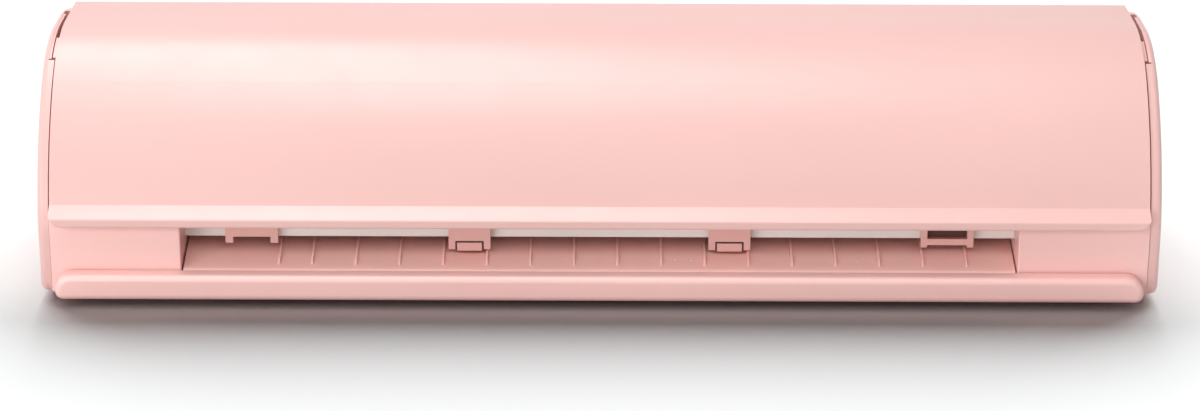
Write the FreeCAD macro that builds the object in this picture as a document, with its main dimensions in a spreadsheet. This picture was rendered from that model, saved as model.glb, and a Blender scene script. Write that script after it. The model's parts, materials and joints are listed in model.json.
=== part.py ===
"""Desktop craft cutting machine: a wide plotter that feeds a sheet or mat through its front slot
and cuts it with a tool carriage under a hinged, rolled lid.

Every piece is modelled with the plane of the front panels at Y = 0 and then set back, so that the
origin lies on the floor under the middle of the machine. +X is to the right of a person facing the
machine, +Y runs to its back and +Z is up. Sizes are in millimetres and angles in degrees.
"""

import FreeCAD, Part
import math
import os
import re
import Sketcher

SIZES = {
    # whole machine
    "machine_width": 540.0,
    "machine_depth": 175.0,
    "top_height": 119.0,
    "foot_height": 3.5,
    "shell_wall": 2.5,
    "fit_gap": 0.02,
    "seam_gap": 0.25,
    "running_gap": 0.06,
    "slide_gap": 0.4,
    # rolled lid
    "crown_radius": 60.0,
    "crown_turn": 45.0,
    "front_radius": 118.0,
    "lip_front": 6.0,
    "lip_base": 39.5,
    "lip_height": 4.3,
    "lip_run": 7.0,
    "lip_rise": 5.0,
    "lip_corner": 6.0,
    "lip_round": 1.2,
    "lid_gap": 0.8,
    "lid_web": 7.0,
    "lid_web_wall": 2.5,
    "hinge_back": 106.0,
    "hinge_radius": 8.0,
    "hinge_boss": 6.0,
    "hinge_boss_length": 10.0,
    "hinge_pin": 2.0,
    "hinge_pin_seat": 3.0,
    "hinge_tab": 2.0,
    # end caps and rear cover
    "cap_width": 5.5,
    "cap_inset": 1.5,
    "cap_corner": 6.0,
    "cap_round": 3.0,
    "cap_brow": 55.0,
    "cap_flat_back": 90.0,
    "recess_gap": 2.0,
    "recess_rear": 97.0,
    "recess_wall": 2.7,
    "cover_inset": 0.8,
    "cover_flange": 14.0,
    "pan_height": 14.0,
    "exit_base": 19.0,
    "exit_top": 37.0,
    # front panels and inner decks
    "pod_width": 68.5,
    "panel_base": 5.0,
    "panel_top": 42.5,
    "panel_return": 32.0,
    "panel_return_base": 13.4,
    "return_wall": 2.0,
    "deck_inset": 6.0,
    "deck_rise": 8.0,
    "deck_rear": 84.0,
    "deck_wall": 2.0,
    "deck_side_gap": 5.5,
    # platen
    "platen_front": 0.8,
    "platen_skirt": 10.8,
    "platen_low": 16.0,
    "platen_top": 23.3,
    "platen_wall": 2.5,
    "platen_gap": 0.7,
    "platen_nose": 2.4,
    "ramp_rear": 30.0,
    "rib_count": 16.0,
    "rib_left": 62.5,
    "rib_right": 24.0,
    "rib_extra_left": 46.5,
    "rib_width": 1.1,
    "rib_height": 0.8,
    "rib_front": 5.0,
    "strip_width": 8.0,
    "strip_height": 0.8,
    "cut_line": 62.0,
    # pull-out front tray
    "tray_proud": 9.5,
    "tray_end": 8.2,
    "tray_base": 3.6,
    "tray_top": 16.3,
    "tray_thick": 8.5,
    "tray_corner": 8.0,
    "tray_foot_corner": 4.0,
    "tray_plate": 2.0,
    "tray_length": 122.0,
    "tray_side": 11.5,
    "tray_edge": 3.6,
    "guide_wall": 3.0,
    "guide_lip": 2.0,
    # side frames, feed shaft and pinch rollers
    "frame_out": 5.5,
    "frame_wall": 1.6,
    "frame_rear_gap": 15.5,
    "frame_flange": 14.0,
    "shaft_back": 38.0,
    "shaft_radius": 3.5,
    "grit_radius": 7.0,
    "grit_length": 21.0,
    "grit_gap": 0.3,
    "bush_radius": 5.5,
    "bush_flange": 7.0,
    "pinch_radius": 5.0,
    "pinch_axle": 1.5,
    "pinch_pivot_back": 50.0,
    "pinch_pivot_height": 38.0,
    "pinch_rod": 2.5,
    "pinch_hub": 4.0,
    "pinch_leg": 2.5,
    "pinch_plate_front": 12.5,
    "pinch_plate": 3.0,
    "pinch_side": 33.0,
    "inner_pinch": 63.0,
    "outer_pinch_width": 25.4,
    "inner_pinch_width": 20.2,
    "bar_front": 17.0,
    "bar_depth": 8.0,
    "bar_base": 27.1,
    "bar_height": 10.4,
    "bar_wall": 1.5,
    # gears and feed motor
    "gear_module": 0.6,
    "gear_teeth": 30.0,
    "pinion_teeth": 15.0,
    "gear_width": 4.0,
    "gear_backlash": 0.14,
    "gear_climb": 45.0,
    "motor_side": 35.0,
    "motor_length": 28.0,
    "motor_step": 1.5,
    "motor_shaft": 1.8,
    "motor_boss": 8.0,
    "bracket_wall": 1.6,
    "carriage_motor_side": 28.0,
    "carriage_motor_length": 16.0,
    # carriage drive
    "rail_front": 89.0,
    "rail_depth": 12.0,
    "rail_base": 54.0,
    "rail_height": 24.0,
    "rail_wall": 2.4,
    "belt_width": 6.0,
    "belt_wall": 1.2,
    "belt_back": 104.5,
    "belt_height": 70.0,
    "pulley_radius": 6.0,
    "pulley_flange": 8.2,
    "pulley_flange_wall": 0.9,
    "pulley_side": 17.5,
    "park_side": 41.5,
    "carriage_half": 32.0,
    "carriage_front": 48.0,
    "carriage_base": 46.0,
    "carriage_top": 86.0,
    "tool_half": 16.0,
    "tool_radius": 8.0,
    "tool_collar": 10.5,
    "tool_collar_height": 5.0,
    "tool_cap": 1.6,
    "tool_rise": 3.0,
    "tool_tip": 29.5,
    "tool_lift": 2.4,
    "tool_tip_radius": 2.0,
    "lock_width": 12.0,
    "lock_height": 8.0,
    "lock_length": 9.0,
    # control panel and electronics
    "button_side": 18.0,
    "button_back": 64.0,
    "button_pitch": 12.0,
    "button_radius": 4.2,
    "button_rim": 5.2,
    "button_proud": 1.4,
    "button_travel": 0.8,
    "board_wall": 1.6,
    "board_height": 16.0,
    "post_radius": 3.0,
    "port_height": 11.0,
    # feet and screws
    "foot_radius": 8.0,
    "foot_seat": 1.0,
    "foot_side_gap": 34.0,
    "foot_front": 22.0,
    "foot_rear_gap": 23.5,
    "screw_head": 2.8,
    "screw_head_height": 1.6,
    "screw_radius": 1.5,
    "screw_length": 9.0,
}

# Sizes that follow from those in the sheet.
DERIVED = {
    "slot_half": "machine_width / 2 - pod_width",
    "frame_rear": "machine_depth - tray_proud - frame_rear_gap",
    "crease_back": "lip_run - lip_front",
    "crease_height": "lip_base + lip_height + lip_rise",
    "sweep_height": "top_height - crown_radius - (front_radius - crown_radius) * cos(crown_turn)",
    "sweep_cos": "(crease_height - sweep_height) / front_radius",
    "sweep_sin": "sqrt(1 - sweep_cos ^ 2)",
    "sweep_back": "crease_back + front_radius * sweep_sin",
    "crown_start": "sweep_back - (front_radius - crown_radius) * sin(crown_turn)",
    "rib_pitch": "(2 * slot_half - rib_left - rib_right) / (rib_count - 1)",
    "rib_first": "rib_left - slot_half",
    "rib_extra": "rib_extra_left - slot_half",
    "tray_half": "machine_width / 2 - tray_end",
    "tray_plate_half": "slot_half - tray_side",
    "outer_pinch": "slot_half - pinch_side",
    "pulley_half": "slot_half - pulley_side",
    "carriage_park": "slot_half - park_side",
    "foot_side": "machine_width / 2 - foot_side_gap",
    "foot_back": "machine_depth - tray_proud - foot_rear_gap",
}

# Places that several pieces share, as expressions in the sheet's names.
SHIFT = "(tray_proud - machine_depth / 2)"
REAR = "(machine_depth - tray_proud)"
CAP_IN = "(machine_width / 2 - cap_width)"
LID_HALF = "(machine_width / 2 - cap_width - lid_gap)"
HINGE_Z = "(top_height - hinge_radius)"
CROWN_Z = "(top_height - crown_radius)"
CAP_TOP = "(top_height - cap_inset)"
REAR_RADIUS = f"({REAR} - cap_flat_back)"
REAR_Z = f"({CAP_TOP} - {REAR_RADIUS})"
COVER_FRONT = "(hinge_back + hinge_radius + lid_gap)"
COVER_RADIUS = f"({REAR_RADIUS} - cover_inset)"
FLOOR = "(foot_height + shell_wall)"
FRAME_IN = "(slot_half + frame_out)"
FRAME_OUT = "(slot_half + frame_out + frame_wall)"
DECK_IN = "(slot_half + return_wall + slide_gap)"
DECK_OUT = f"({CAP_IN} - deck_side_gap)"
SHAFT_Z = "(platen_top + grit_gap - grit_radius)"
PINCH_Z = "(platen_top + 2 * grit_gap + pinch_radius)"
PLATEN_HALF = "(slot_half - platen_gap)"
PLATEN_UNDER = "(platen_top - platen_wall)"
RAMP = "((platen_top - platen_low) / (ramp_rear - platen_front))"
TRAY_PLATE_TOP = f"({FLOOR} + slide_gap + tray_plate)"
TRAY_EDGE_TOP = f"({FLOOR} + slide_gap + tray_edge)"
GUIDE_TOP = f"({TRAY_EDGE_TOP} + slide_gap + guide_lip)"
GUIDE_IN = "(tray_plate_half + slide_gap)"
RAIL_TOP = "(rail_base + rail_height)"
GEAR_X = f"({FRAME_OUT} + bush_flange / 3)"
GEAR_REACH = "(gear_module * (gear_teeth + pinion_teeth) / 2)"
GEAR_TIP = "(gear_module * (gear_teeth / 2 + 1))"
PINION_Y = f"(shaft_back + {GEAR_REACH} * cos(gear_climb))"
PINION_Z = f"({SHAFT_Z} + {GEAR_REACH} * sin(gear_climb))"
BRACKET_X = f"({GEAR_X} + gear_width + slide_gap)"
FEET = [(x, y) for x in ("-foot_side", "foot_side") for y in ("foot_front", "foot_back")]
SCREW_X = f"({FRAME_OUT} + frame_flange / 2)"
SCREWS = [(x, y) for x in (f"-{SCREW_X}", SCREW_X) for y in ("ramp_rear / 2", "frame_rear - ramp_rear / 2")]
BOARD_IN = f"({FRAME_OUT} + frame_flange + slide_gap)"
BOARD_OUT = f"({CAP_IN} - slide_gap)"
BOARD_FRONT = "rail_front"
BOARD_BACK = f"(cap_flat_back + {COVER_RADIUS} - shell_wall - slide_gap)"
BOARD_POSTS_X = (f"{BOARD_IN} + 2 * post_radius", f"{BOARD_OUT} - 2 * post_radius")
BOARD_POSTS_Y = (f"{BOARD_FRONT} + 2 * post_radius", f"{BOARD_BACK} - 4 * post_radius")
BOARD_TOP = "(board_height + board_wall)"
PORT_SPAN = (f"{BOARD_TOP} - slide_gap", f"{BOARD_TOP} + port_height + slide_gap")
PORTS = {
    "power_inlet": (f"{DECK_OUT} - 1.5 * port_height", f"{DECK_OUT} - port_height / 2"),
    "data_port": (f"{BOARD_IN} + board_wall", f"{BOARD_IN} + board_wall + port_height"),
}

FUNCTIONS = {"sin", "cos", "tan", "sqrt"}
WORD = re.compile(r"[a-z_]+")

doc = FreeCAD.newDocument("cutting_machine")
sheet = doc.addObject("Spreadsheet::Sheet", "Dim")
pieces = []


def fill_sheet():
    for row, (name, size) in enumerate(SIZES.items(), 1):
        sheet.set(f"A{row}", name)
        sheet.set(f"B{row}", str(size))
        sheet.setAlias(f"B{row}", name)
    doc.recompute()


def bound(expression):
    """The expression with each size's name pointing at its cell."""
    def cell(word):
        if word[0] in FUNCTIONS:
            return word[0]
        if word[0] in DERIVED:
            return f"({bound(DERIVED[word[0]])})"
        return "Dim." + word[0]

    return WORD.sub(cell, str(expression))


def number(expression):
    return float(sheet.evalExpression(bound(expression)))


def tie(obj, prop, expression):
    obj.setExpression(prop, bound(expression))


def piece(obj, label):
    """Names a finished sub-part."""
    obj.Label = label
    pieces.append(obj)
    return obj


# Solids from primitives, already set back by SHIFT


def box(name, x, y, z):
    """A block between the low and high expressions of each axis."""
    made = doc.addObject("Part::Box", name)
    y = tuple(f"({edge}) + {SHIFT}" for edge in y)
    for prop, axis, (low, high) in zip(("Length", "Width", "Height"), "xyz", (x, y, z)):
        tie(made, prop, f"({high}) - ({low})")
        tie(made, "Placement.Base." + axis, low)
    return made


TURN_TO = {
    "x": FreeCAD.Rotation(FreeCAD.Vector(0, 1, 0), 90),
    "y": FreeCAD.Rotation(FreeCAD.Vector(1, 0, 0), -90),
    "z": FreeCAD.Rotation(),
}


def place_along(made, axis, centre, start):
    """Stands a turned primitive on its axis: centre is the other two coordinates, in X, Y, Z order."""
    made.Placement = FreeCAD.Placement(FreeCAD.Vector(), TURN_TO[axis])
    places = dict(zip([name for name in "xyz" if name != axis], centre))
    places[axis] = start
    places["y"] = f"({places['y']}) + {SHIFT}"
    for name, place in places.items():
        tie(made, "Placement.Base." + name, place)
    return made


def rod(name, axis, centre, span, radius):
    """A cylinder along an axis."""
    made = doc.addObject("Part::Cylinder", name)
    tie(made, "Radius", radius)
    tie(made, "Height", f"({span[1]}) - ({span[0]})")
    return place_along(made, axis, centre, span[0])


def cone(name, axis, centre, span, radii):
    """A truncated cone along an axis, with its radius at the span's start and end."""
    made = doc.addObject("Part::Cone", name)
    tie(made, "Radius1", radii[0])
    tie(made, "Radius2", radii[1])
    tie(made, "Height", f"({span[1]}) - ({span[0]})")
    return place_along(made, axis, centre, span[0])


def join(name, *shapes):
    made = doc.addObject("Part::MultiFuse", name)
    made.Shapes = list(shapes)
    made.Refine = True
    return made


def cut(name, base, *tools):
    made = doc.addObject("Part::Cut", name)
    made.Base = base
    made.Tool = tools[0] if len(tools) == 1 else join(name + "_tools", *tools)
    made.Refine = True
    return made


def group(name, *shapes):
    """Like pieces kept as separate solids of one sub-part."""
    made = doc.addObject("Part::Compound", name)
    made.Links = list(shapes)
    return made


# Moulded and folded pieces from sketches


def new_body(name):
    made = doc.addObject("PartDesign::Body", name)
    tie(made, "Placement.Base.y", SHIFT)
    return made


def new_sketch(body, name, plane, offset="0"):
    made = body.newObject("Sketcher::SketchObject", name)
    origin = next(f for f in body.Origin.OriginFeatures if f.Role == plane)
    made.AttachmentSupport = (origin, [""])
    made.MapMode = "FlatFace"
    tie(made, "AttachmentOffset.Base.z", offset)
    return made


def arc_between(start, end, radius, left):
    """The shorter arc from start to end, turning left or right; it is stored counter-clockwise."""
    chord = end - start
    rise = math.sqrt(max(radius**2 - chord.Length**2 / 4, 0.0)) / chord.Length
    normal = FreeCAD.Vector(-chord.y, chord.x, 0) * (rise if left else -rise)
    centre = (start + end) / 2 + normal
    first, last = (start, end) if left else (end, start)
    angles = [math.atan2(p.y - centre.y, p.x - centre.x) for p in (first, last)]
    circle = Part.Circle(centre, FreeCAD.Vector(0, 0, 1), radius)
    return Part.ArcOfCircle(circle, angles[0], angles[1])


def outline(sketch, steps):
    """Draws a closed outline. A step is a corner (x, y), reached by a straight line, or
    (x, y, radius, "left" or "right"), reached by an arc. Each corner is tied to the sheet."""
    corners = [FreeCAD.Vector(number(s[0]), number(s[1]), 0) for s in steps]
    ends = []
    for i, step in enumerate(steps):
        before, here = corners[i - 1], corners[i]
        if len(step) == 2:
            shape = Part.LineSegment(before, here)
        else:
            shape = arc_between(before, here, number(step[2]), step[3] == "left")
        index = sketch.addGeometry(shape, False)
        flipped = len(step) > 2 and step[3] == "right"
        ends.append((index, 2, 1) if flipped else (index, 1, 2))
        if len(step) > 2:
            fixed = sketch.addConstraint(Sketcher.Constraint("Radius", index, number(step[2])))
            sketch.setExpression(f"Constraints[{fixed}]", bound(step[2]))
    for i, (index, start, end) in enumerate(ends):
        after, after_start, _ = ends[(i + 1) % len(ends)]
        sketch.addConstraint(Sketcher.Constraint("Coincident", index, end, after, after_start))
        for kind, expression in zip(("DistanceX", "DistanceY"), steps[i]):
            fixed = Sketcher.Constraint(kind, -1, 1, index, end, number(expression))
            place = sketch.addConstraint(fixed)
            sketch.setExpression(f"Constraints[{place}]", bound(expression))


def ring(sketch, x, y, radius):
    """Draws a circle tied to the sheet."""
    centre = FreeCAD.Vector(number(x), number(y), 0)
    circle = Part.Circle(centre, FreeCAD.Vector(0, 0, 1), number(radius))
    index = sketch.addGeometry(circle, False)
    wanted = (("DistanceX", x), ("DistanceY", y))
    for kind, expression in wanted:
        fixed = Sketcher.Constraint(kind, -1, 1, index, 3, number(expression))
        place = sketch.addConstraint(fixed)
        sketch.setExpression(f"Constraints[{place}]", bound(expression))
    fixed = sketch.addConstraint(Sketcher.Constraint("Radius", index, number(radius)))
    sketch.setExpression(f"Constraints[{fixed}]", bound(radius))


def rectangle(sketch, x, y):
    outline(sketch, [(x[0], y[0]), (x[1], y[0]), (x[1], y[1]), (x[0], y[1])])


def pad(body, sketch, length, symmetric=False, back=False):
    made = body.newObject("PartDesign::Pad", sketch.Name + "_pad")
    made.Profile = sketch
    made.SideType = "Symmetric" if symmetric else "One side"
    made.Reversed = back
    tie(made, "Length", length)
    return made


def pocket(body, sketch, length=None, back=False, both=False):
    """Cuts along the sketch's back, or its normal where back is True; with no length, right through."""
    made = body.newObject("PartDesign::Pocket", sketch.Name + "_pocket")
    made.Profile = sketch
    made.Reversed = back
    if both:
        made.SideType = "Symmetric"
    if length is None:
        made.Type = "ThroughAll"
    else:
        tie(made, "Length", length)
    return made


def mirrored(body, name, features):
    """Repeats features on the other side of the machine's middle plane."""
    made = body.newObject("PartDesign::Mirrored", name)
    made.Originals = features
    plane = next(f for f in body.Origin.OriginFeatures if f.Role == "YZ_Plane")
    made.MirrorPlane = (plane, [""])
    body.Tip = made
    return made


def rounded(body, name, wanted, radius):
    """Rounds each edge of the body that the test wanted accepts."""
    doc.recompute()
    base = body.Tip
    names = [f"Edge{i}" for i, edge in enumerate(base.Shape.Edges, 1) if wanted(edge)]
    made = body.newObject("PartDesign::Fillet", name)
    made.Base = (base, names)
    tie(made, "Radius", radius)
    return made


def near(first, second):
    return abs(first - second) < 0.01


def lies_at(edge, axis, place):
    """Whether the whole edge lies at one coordinate of an axis: 0, 1 or 2 for X, Y or Z."""
    return all(near(v.Point[axis], place) for v in edge.Vertexes)


# Points of the machine's rolled side profile, some distance inside the lid's outer face


def crown_end(inset):
    return (
        f"crown_start - (crown_radius - {inset}) * sin(crown_turn)",
        f"{CROWN_Z} + (crown_radius - {inset}) * cos(crown_turn)",
    )


def crown_at(inset, turn):
    return (
        f"crown_start - (crown_radius - {inset}) * sin({turn})",
        f"{CROWN_Z} + (crown_radius - {inset}) * cos({turn})",
    )


def crease_at(inset):
    """Where the lid's sweep turns out into its lip."""
    return (
        f"sweep_back - (front_radius - {inset}) * sweep_sin",
        f"sweep_height + (front_radius - {inset}) * sweep_cos",
    )


def sweep_at(inset, height):
    """The point of the front sweep at a height."""
    return (
        f"sweep_back - sqrt((front_radius - {inset}) ^ 2 - ({height} - sweep_height) ^ 2)",
        height,
    )


# Lid

# The angles down the crown between which the lid's end tabs reach into the caps' recesses
TAB_HIGH = "crown_turn / 3"
TAB_LOW = "crown_turn * 2 / 3"


def make_lid():
    """The rolled lid: flat top, crown, long front sweep, flared finger lip and a hinge roll behind."""
    body = new_body("lid")
    lip_inner = "shell_wall - lip_front"
    panel = new_sketch(body, "lid_panel", "YZ_Plane")
    outline(
        panel,
        [
            ("hinge_back", "top_height", "hinge_radius", "left"),
            ("crown_start", "top_height"),
            (*crown_end("0"), "crown_radius", "left"),
            (*crease_at("0"), "front_radius", "left"),
            ("-lip_front", "lip_base + lip_height"),
            ("-lip_front", "lip_base"),
            (lip_inner, "lip_base"),
            (lip_inner, "lip_base + lip_height - shell_wall / 2"),
            crease_at("shell_wall"),
            (*crown_end("shell_wall"), "front_radius - shell_wall", "right"),
            ("crown_start", "top_height - shell_wall", "crown_radius - shell_wall", "right"),
            ("hinge_back", "top_height - shell_wall"),
            ("hinge_back + hinge_radius - shell_wall", HINGE_Z, "hinge_radius - shell_wall", "right"),
            ("hinge_back + hinge_radius", HINGE_Z),
        ],
    )
    pad(body, panel, f"2 * {LID_HALF}", symmetric=True)

    web = new_sketch(body, "lid_web", "YZ_Plane", LID_HALF)
    outline(
        web,
        [
            ("hinge_back", "top_height"),
            ("crown_start", "top_height"),
            (*crown_end("0"), "crown_radius", "left"),
            (*crease_at("0"), "front_radius", "left"),
            crease_at("lid_web"),
            (*crown_end("lid_web"), "front_radius - lid_web", "right"),
            ("crown_start", "top_height - lid_web", "crown_radius - lid_web", "right"),
            ("hinge_back", "top_height - lid_web"),
        ],
    )
    web_pad = pad(body, web, "lid_web_wall", back=True)
    boss = new_sketch(body, "lid_boss", "YZ_Plane", LID_HALF)
    ring(boss, "hinge_back", HINGE_Z, "hinge_boss")
    boss_pad = pad(body, boss, "hinge_boss_length", back=True)
    tab = new_sketch(body, "lid_tab", "YZ_Plane", LID_HALF)
    tab_inset = "cap_inset + lid_gap"
    outline(
        tab,
        [
            crown_at("lid_web", TAB_HIGH),
            (*crown_at("lid_web", TAB_LOW), "crown_radius - lid_web", "left"),
            crown_at(f"({tab_inset})", TAB_LOW),
            (*crown_at(f"({tab_inset})", TAB_HIGH), f"crown_radius - ({tab_inset})", "right"),
        ],
    )
    tab_pad = pad(body, tab, "hinge_tab")
    bore = new_sketch(body, "lid_bore", "YZ_Plane", LID_HALF)
    ring(bore, "hinge_back", HINGE_Z, "hinge_pin + running_gap")
    bore_cut = pocket(body, bore, "hinge_boss_length")
    mirrored(body, "lid_ends", [web_pad, boss_pad, tab_pad, bore_cut])

    corner = new_sketch(body, "lid_corner", "XZ_Plane")
    outline(
        corner,
        [
            (f"{LID_HALF} + lid_gap / 2", "lip_base - lip_round"),
            (f"{LID_HALF} + lid_gap / 2", "lip_base + lip_corner"),
            (LID_HALF, "lip_base + lip_corner"),
            (f"{LID_HALF} - lip_corner", "lip_base", "lip_corner", "right"),
            (f"{LID_HALF} - lip_corner", "lip_base - lip_round"),
        ],
    )
    corner_cut = pocket(body, corner, "crown_start", both=True)
    mirrored(body, "lid_corners", [corner_cut])

    half = number(LID_HALF)
    front = number("-lip_front")
    rounded(
        body,
        "lid_lip_round",
        lambda e: lies_at(e, 1, front) and e.BoundBox.XLength > half / 2,
        "lip_round",
    )
    return piece(body, "lid")


# End caps


def make_end_cap(side, label):
    """A side cover plate with the machine's rolled profile, a rounded rim and the lid's hinge recess."""
    body = new_body(label)
    inner = CAP_IN if side > 0 else f"-{CAP_IN}"
    plate = new_sketch(body, label + "_plate", "YZ_Plane", inner)
    brow = crease_at("cap_inset")
    front = f"{brow[0]} - cap_brow * (1 - sweep_sin)"
    outline(
        plate,
        [
            (f"{front} + cap_corner", "foot_height", "cap_corner", "left"),
            (f"{REAR} - cap_corner", "foot_height"),
            (REAR, "foot_height + cap_corner", "cap_corner", "left"),
            (REAR, REAR_Z),
            ("cap_flat_back", CAP_TOP, REAR_RADIUS, "left"),
            ("crown_start", CAP_TOP),
            (*crown_end("cap_inset"), "crown_radius - cap_inset", "left"),
            (*brow, "front_radius - cap_inset", "left"),
            (front, f"{brow[1]} - cap_brow * sweep_cos", "cap_brow", "left"),
            (front, "foot_height + cap_corner"),
        ],
    )
    pad(body, plate, "cap_width", back=side < 0)
    outer = number("machine_width / 2") * side
    rounded(body, label + "_rim", lambda e: lies_at(e, 0, outer), "cap_round")
    recess = new_sketch(body, label + "_recess", "YZ_Plane", inner)
    recess_front = f"{crown_at('cap_inset', TAB_LOW)[0]} - recess_gap"
    recess_base = f"{crown_at('lid_web', TAB_LOW)[1]} - recess_gap"
    rectangle(recess, (recess_front, "recess_rear"), (recess_base, "top_height"))
    pocket(body, recess, "cap_width - recess_wall", back=side > 0)
    seat = new_sketch(body, label + "_pin_seat", "YZ_Plane", inner)
    ring(seat, "hinge_back", HINGE_Z, "hinge_pin + fit_gap")
    pocket(body, seat, "hinge_pin_seat", back=side > 0)
    return piece(body, label)


def make_hinge_pins():
    pins = []
    for side, name in ((1, "right_hinge_pin"), (-1, "left_hinge_pin")):
        inner = f"{LID_HALF} - hinge_boss_length + slide_gap"
        outer = f"{CAP_IN} + hinge_pin_seat - slide_gap"
        span = (inner, outer) if side > 0 else (f"-({outer})", f"-({inner})")
        pins.append(rod(name, "x", ("hinge_back", HINGE_Z), span, "hinge_pin"))
    return piece(group("hinge_pins", *pins), "hinge_pins")


# Rear cover and base pan


def make_rear_cover():
    """The rounded back: it starts under the lid's hinge roll and has the slot where the sheet leaves."""
    body = new_body("rear_cover")
    shell = new_sketch(body, "rear_shell", "YZ_Plane")
    inner = f"({COVER_RADIUS} - shell_wall)"
    back = f"{COVER_FRONT} + shell_wall"
    flange = f"{HINGE_Z} - cover_flange"
    outline(
        shell,
        [
            (COVER_FRONT, flange),
            (back, flange),
            (back, f"{REAR_Z} + sqrt({inner} ^ 2 - ({back} - cap_flat_back) ^ 2)"),
            (f"cap_flat_back + {inner}", REAR_Z, inner, "right"),
            (f"cap_flat_back + {inner}", "pan_height"),
            (f"cap_flat_back + {COVER_RADIUS}", "pan_height"),
            (f"cap_flat_back + {COVER_RADIUS}", REAR_Z),
            (
                COVER_FRONT,
                f"{REAR_Z} + sqrt({COVER_RADIUS} ^ 2 - ({COVER_FRONT} - cap_flat_back) ^ 2)",
                COVER_RADIUS,
                "left",
            ),
        ],
    )
    pad(body, shell, f"2 * {CAP_IN}", symmetric=True)
    slot = new_sketch(body, "rear_slot", "XZ_Plane", f"-{REAR_RADIUS}")
    rectangle(slot, ("-slot_half", "slot_half"), ("exit_base", "exit_top"))
    pocket(body, slot, REAR, back=False)
    ports = new_sketch(body, "rear_ports", "XZ_Plane", f"-{REAR_RADIUS}")
    for low, high in PORTS.values():
        rectangle(ports, (f"{low} - slide_gap", f"{high} + slide_gap"), PORT_SPAN)
    pocket(body, ports, REAR, back=False)
    return piece(body, "rear_cover")


def make_base_pan():
    """The floor pan: tray guides, a rear wall, board posts, foot seats and screw holes."""
    body = new_body("base_pan")
    floor = new_sketch(body, "pan_floor", "XY_Plane", "foot_height")
    back = f"cap_flat_back + {COVER_RADIUS}"
    rectangle(floor, (f"-{CAP_IN}", CAP_IN), ("shell_wall", back))
    pad(body, floor, "shell_wall")
    wall = new_sketch(body, "pan_wall", "XY_Plane", FLOOR)
    rectangle(wall, (f"-{CAP_IN}", CAP_IN), (f"{back} - shell_wall", back))
    pad(body, wall, f"pan_height - {FLOOR}")
    guide = new_sketch(body, "pan_guide", "XZ_Plane", "-(platen_front + platen_wall + slide_gap)")
    lip_in = "(tray_plate_half - guide_wall)"
    outline(
        guide,
        [
            (GUIDE_IN, FLOOR),
            (f"{GUIDE_IN} + guide_wall", FLOOR),
            (f"{GUIDE_IN} + guide_wall", GUIDE_TOP),
            (lip_in, GUIDE_TOP),
            (lip_in, f"{TRAY_EDGE_TOP} + slide_gap"),
            (GUIDE_IN, f"{TRAY_EDGE_TOP} + slide_gap"),
        ],
    )
    guide_pad = pad(body, guide, "tray_length", back=True)
    mirrored(body, "pan_guides", [guide_pad])
    posts = new_sketch(body, "pan_posts", "XY_Plane", FLOOR)
    for x in BOARD_POSTS_X:
        for y in BOARD_POSTS_Y:
            ring(posts, x, y, "post_radius")
    pad(body, posts, f"board_height - {FLOOR}")
    seats = new_sketch(body, "pan_foot_seats", "XY_Plane", "foot_height")
    for x, y in FEET:
        ring(seats, x, y, "foot_radius + slide_gap / 2")
    pocket(body, seats, "foot_seat", back=True)
    heads = new_sketch(body, "pan_screw_heads", "XY_Plane", "foot_height")
    for x, y in SCREWS:
        ring(heads, x, y, "screw_head + slide_gap")
    pocket(body, heads, "screw_head_height", back=True)
    holes = new_sketch(body, "pan_screw_holes", "XY_Plane", "foot_height")
    for x, y in SCREWS:
        ring(holes, x, y, "screw_radius + fit_gap")
    pocket(body, holes, "2 * shell_wall", back=True)
    return piece(body, "base_pan")


def make_feet():
    feet = []
    for i, (x, y) in enumerate(FEET):
        radii = ("foot_radius - foot_seat", "foot_radius")
        tread = cone(f"foot_tread_{i}", "z", (x, y), ("0", "foot_seat"), radii)
        pad_part = rod(f"foot_pad_{i}", "z", (x, y), ("foot_seat", "foot_height + foot_seat"), "foot_radius")
        feet.append(join(f"foot_{i}", tread, pad_part))
    return piece(group("feet", *feet), "rubber_feet")


def make_screws():
    screws = []
    head_top = "foot_height + screw_head_height"
    for i, (x, y) in enumerate(SCREWS):
        head = rod(f"screw_head_{i}", "z", (x, y), ("foot_height + fit_gap", head_top), "screw_head")
        shank = rod(f"screw_shank_{i}", "z", (x, y), (head_top, f"{head_top} + screw_length"), "screw_radius")
        recess_span = ("foot_height", f"{head_top} - screw_radius / 2")
        recess = rod(f"screw_recess_{i}", "z", (x, y), recess_span, "screw_radius / 2")
        screws.append(cut(f"screw_{i}", join(f"screw_blank_{i}", head, shank), recess))
    return piece(group("screws", *screws), "case_screws")


# Front panels and inner decks


def make_front_panel(side, label):
    """The plain block beside the feed slot: a face with a wall turned back along the slot."""
    body = new_body(label)
    sign = "" if side > 0 else "-"
    edges = [f"{sign}slot_half", f"{sign}(slot_half + return_wall)", f"{sign}({CAP_IN} - seam_gap)"]
    plan = new_sketch(body, label + "_face", "XZ_Plane")
    rectangle(plan, (edges[0], edges[2]), ("panel_base", "panel_top"))
    pad(body, plan, "shell_wall", back=True)
    turn = new_sketch(body, label + "_return", "XZ_Plane")
    rectangle(turn, (edges[0], edges[1]), ("panel_return_base", "panel_top"))
    pad(body, turn, "panel_return", back=True)
    notch = new_sketch(body, label + "_notch", "YZ_Plane", edges[0])
    rectangle(
        notch,
        ("bar_front - slide_gap", "bar_front + bar_depth + slide_gap"),
        ("bar_base - slide_gap", "bar_base + bar_height + slide_gap"),
    )
    pocket(body, notch, "4 * return_wall", both=True)
    slot_x = number(edges[0])
    rounded(
        body,
        label + "_edge",
        lambda e: lies_at(e, 0, slot_x) and lies_at(e, 1, 0.0),
        "shell_wall / 3",
    )
    return piece(body, label)


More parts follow.
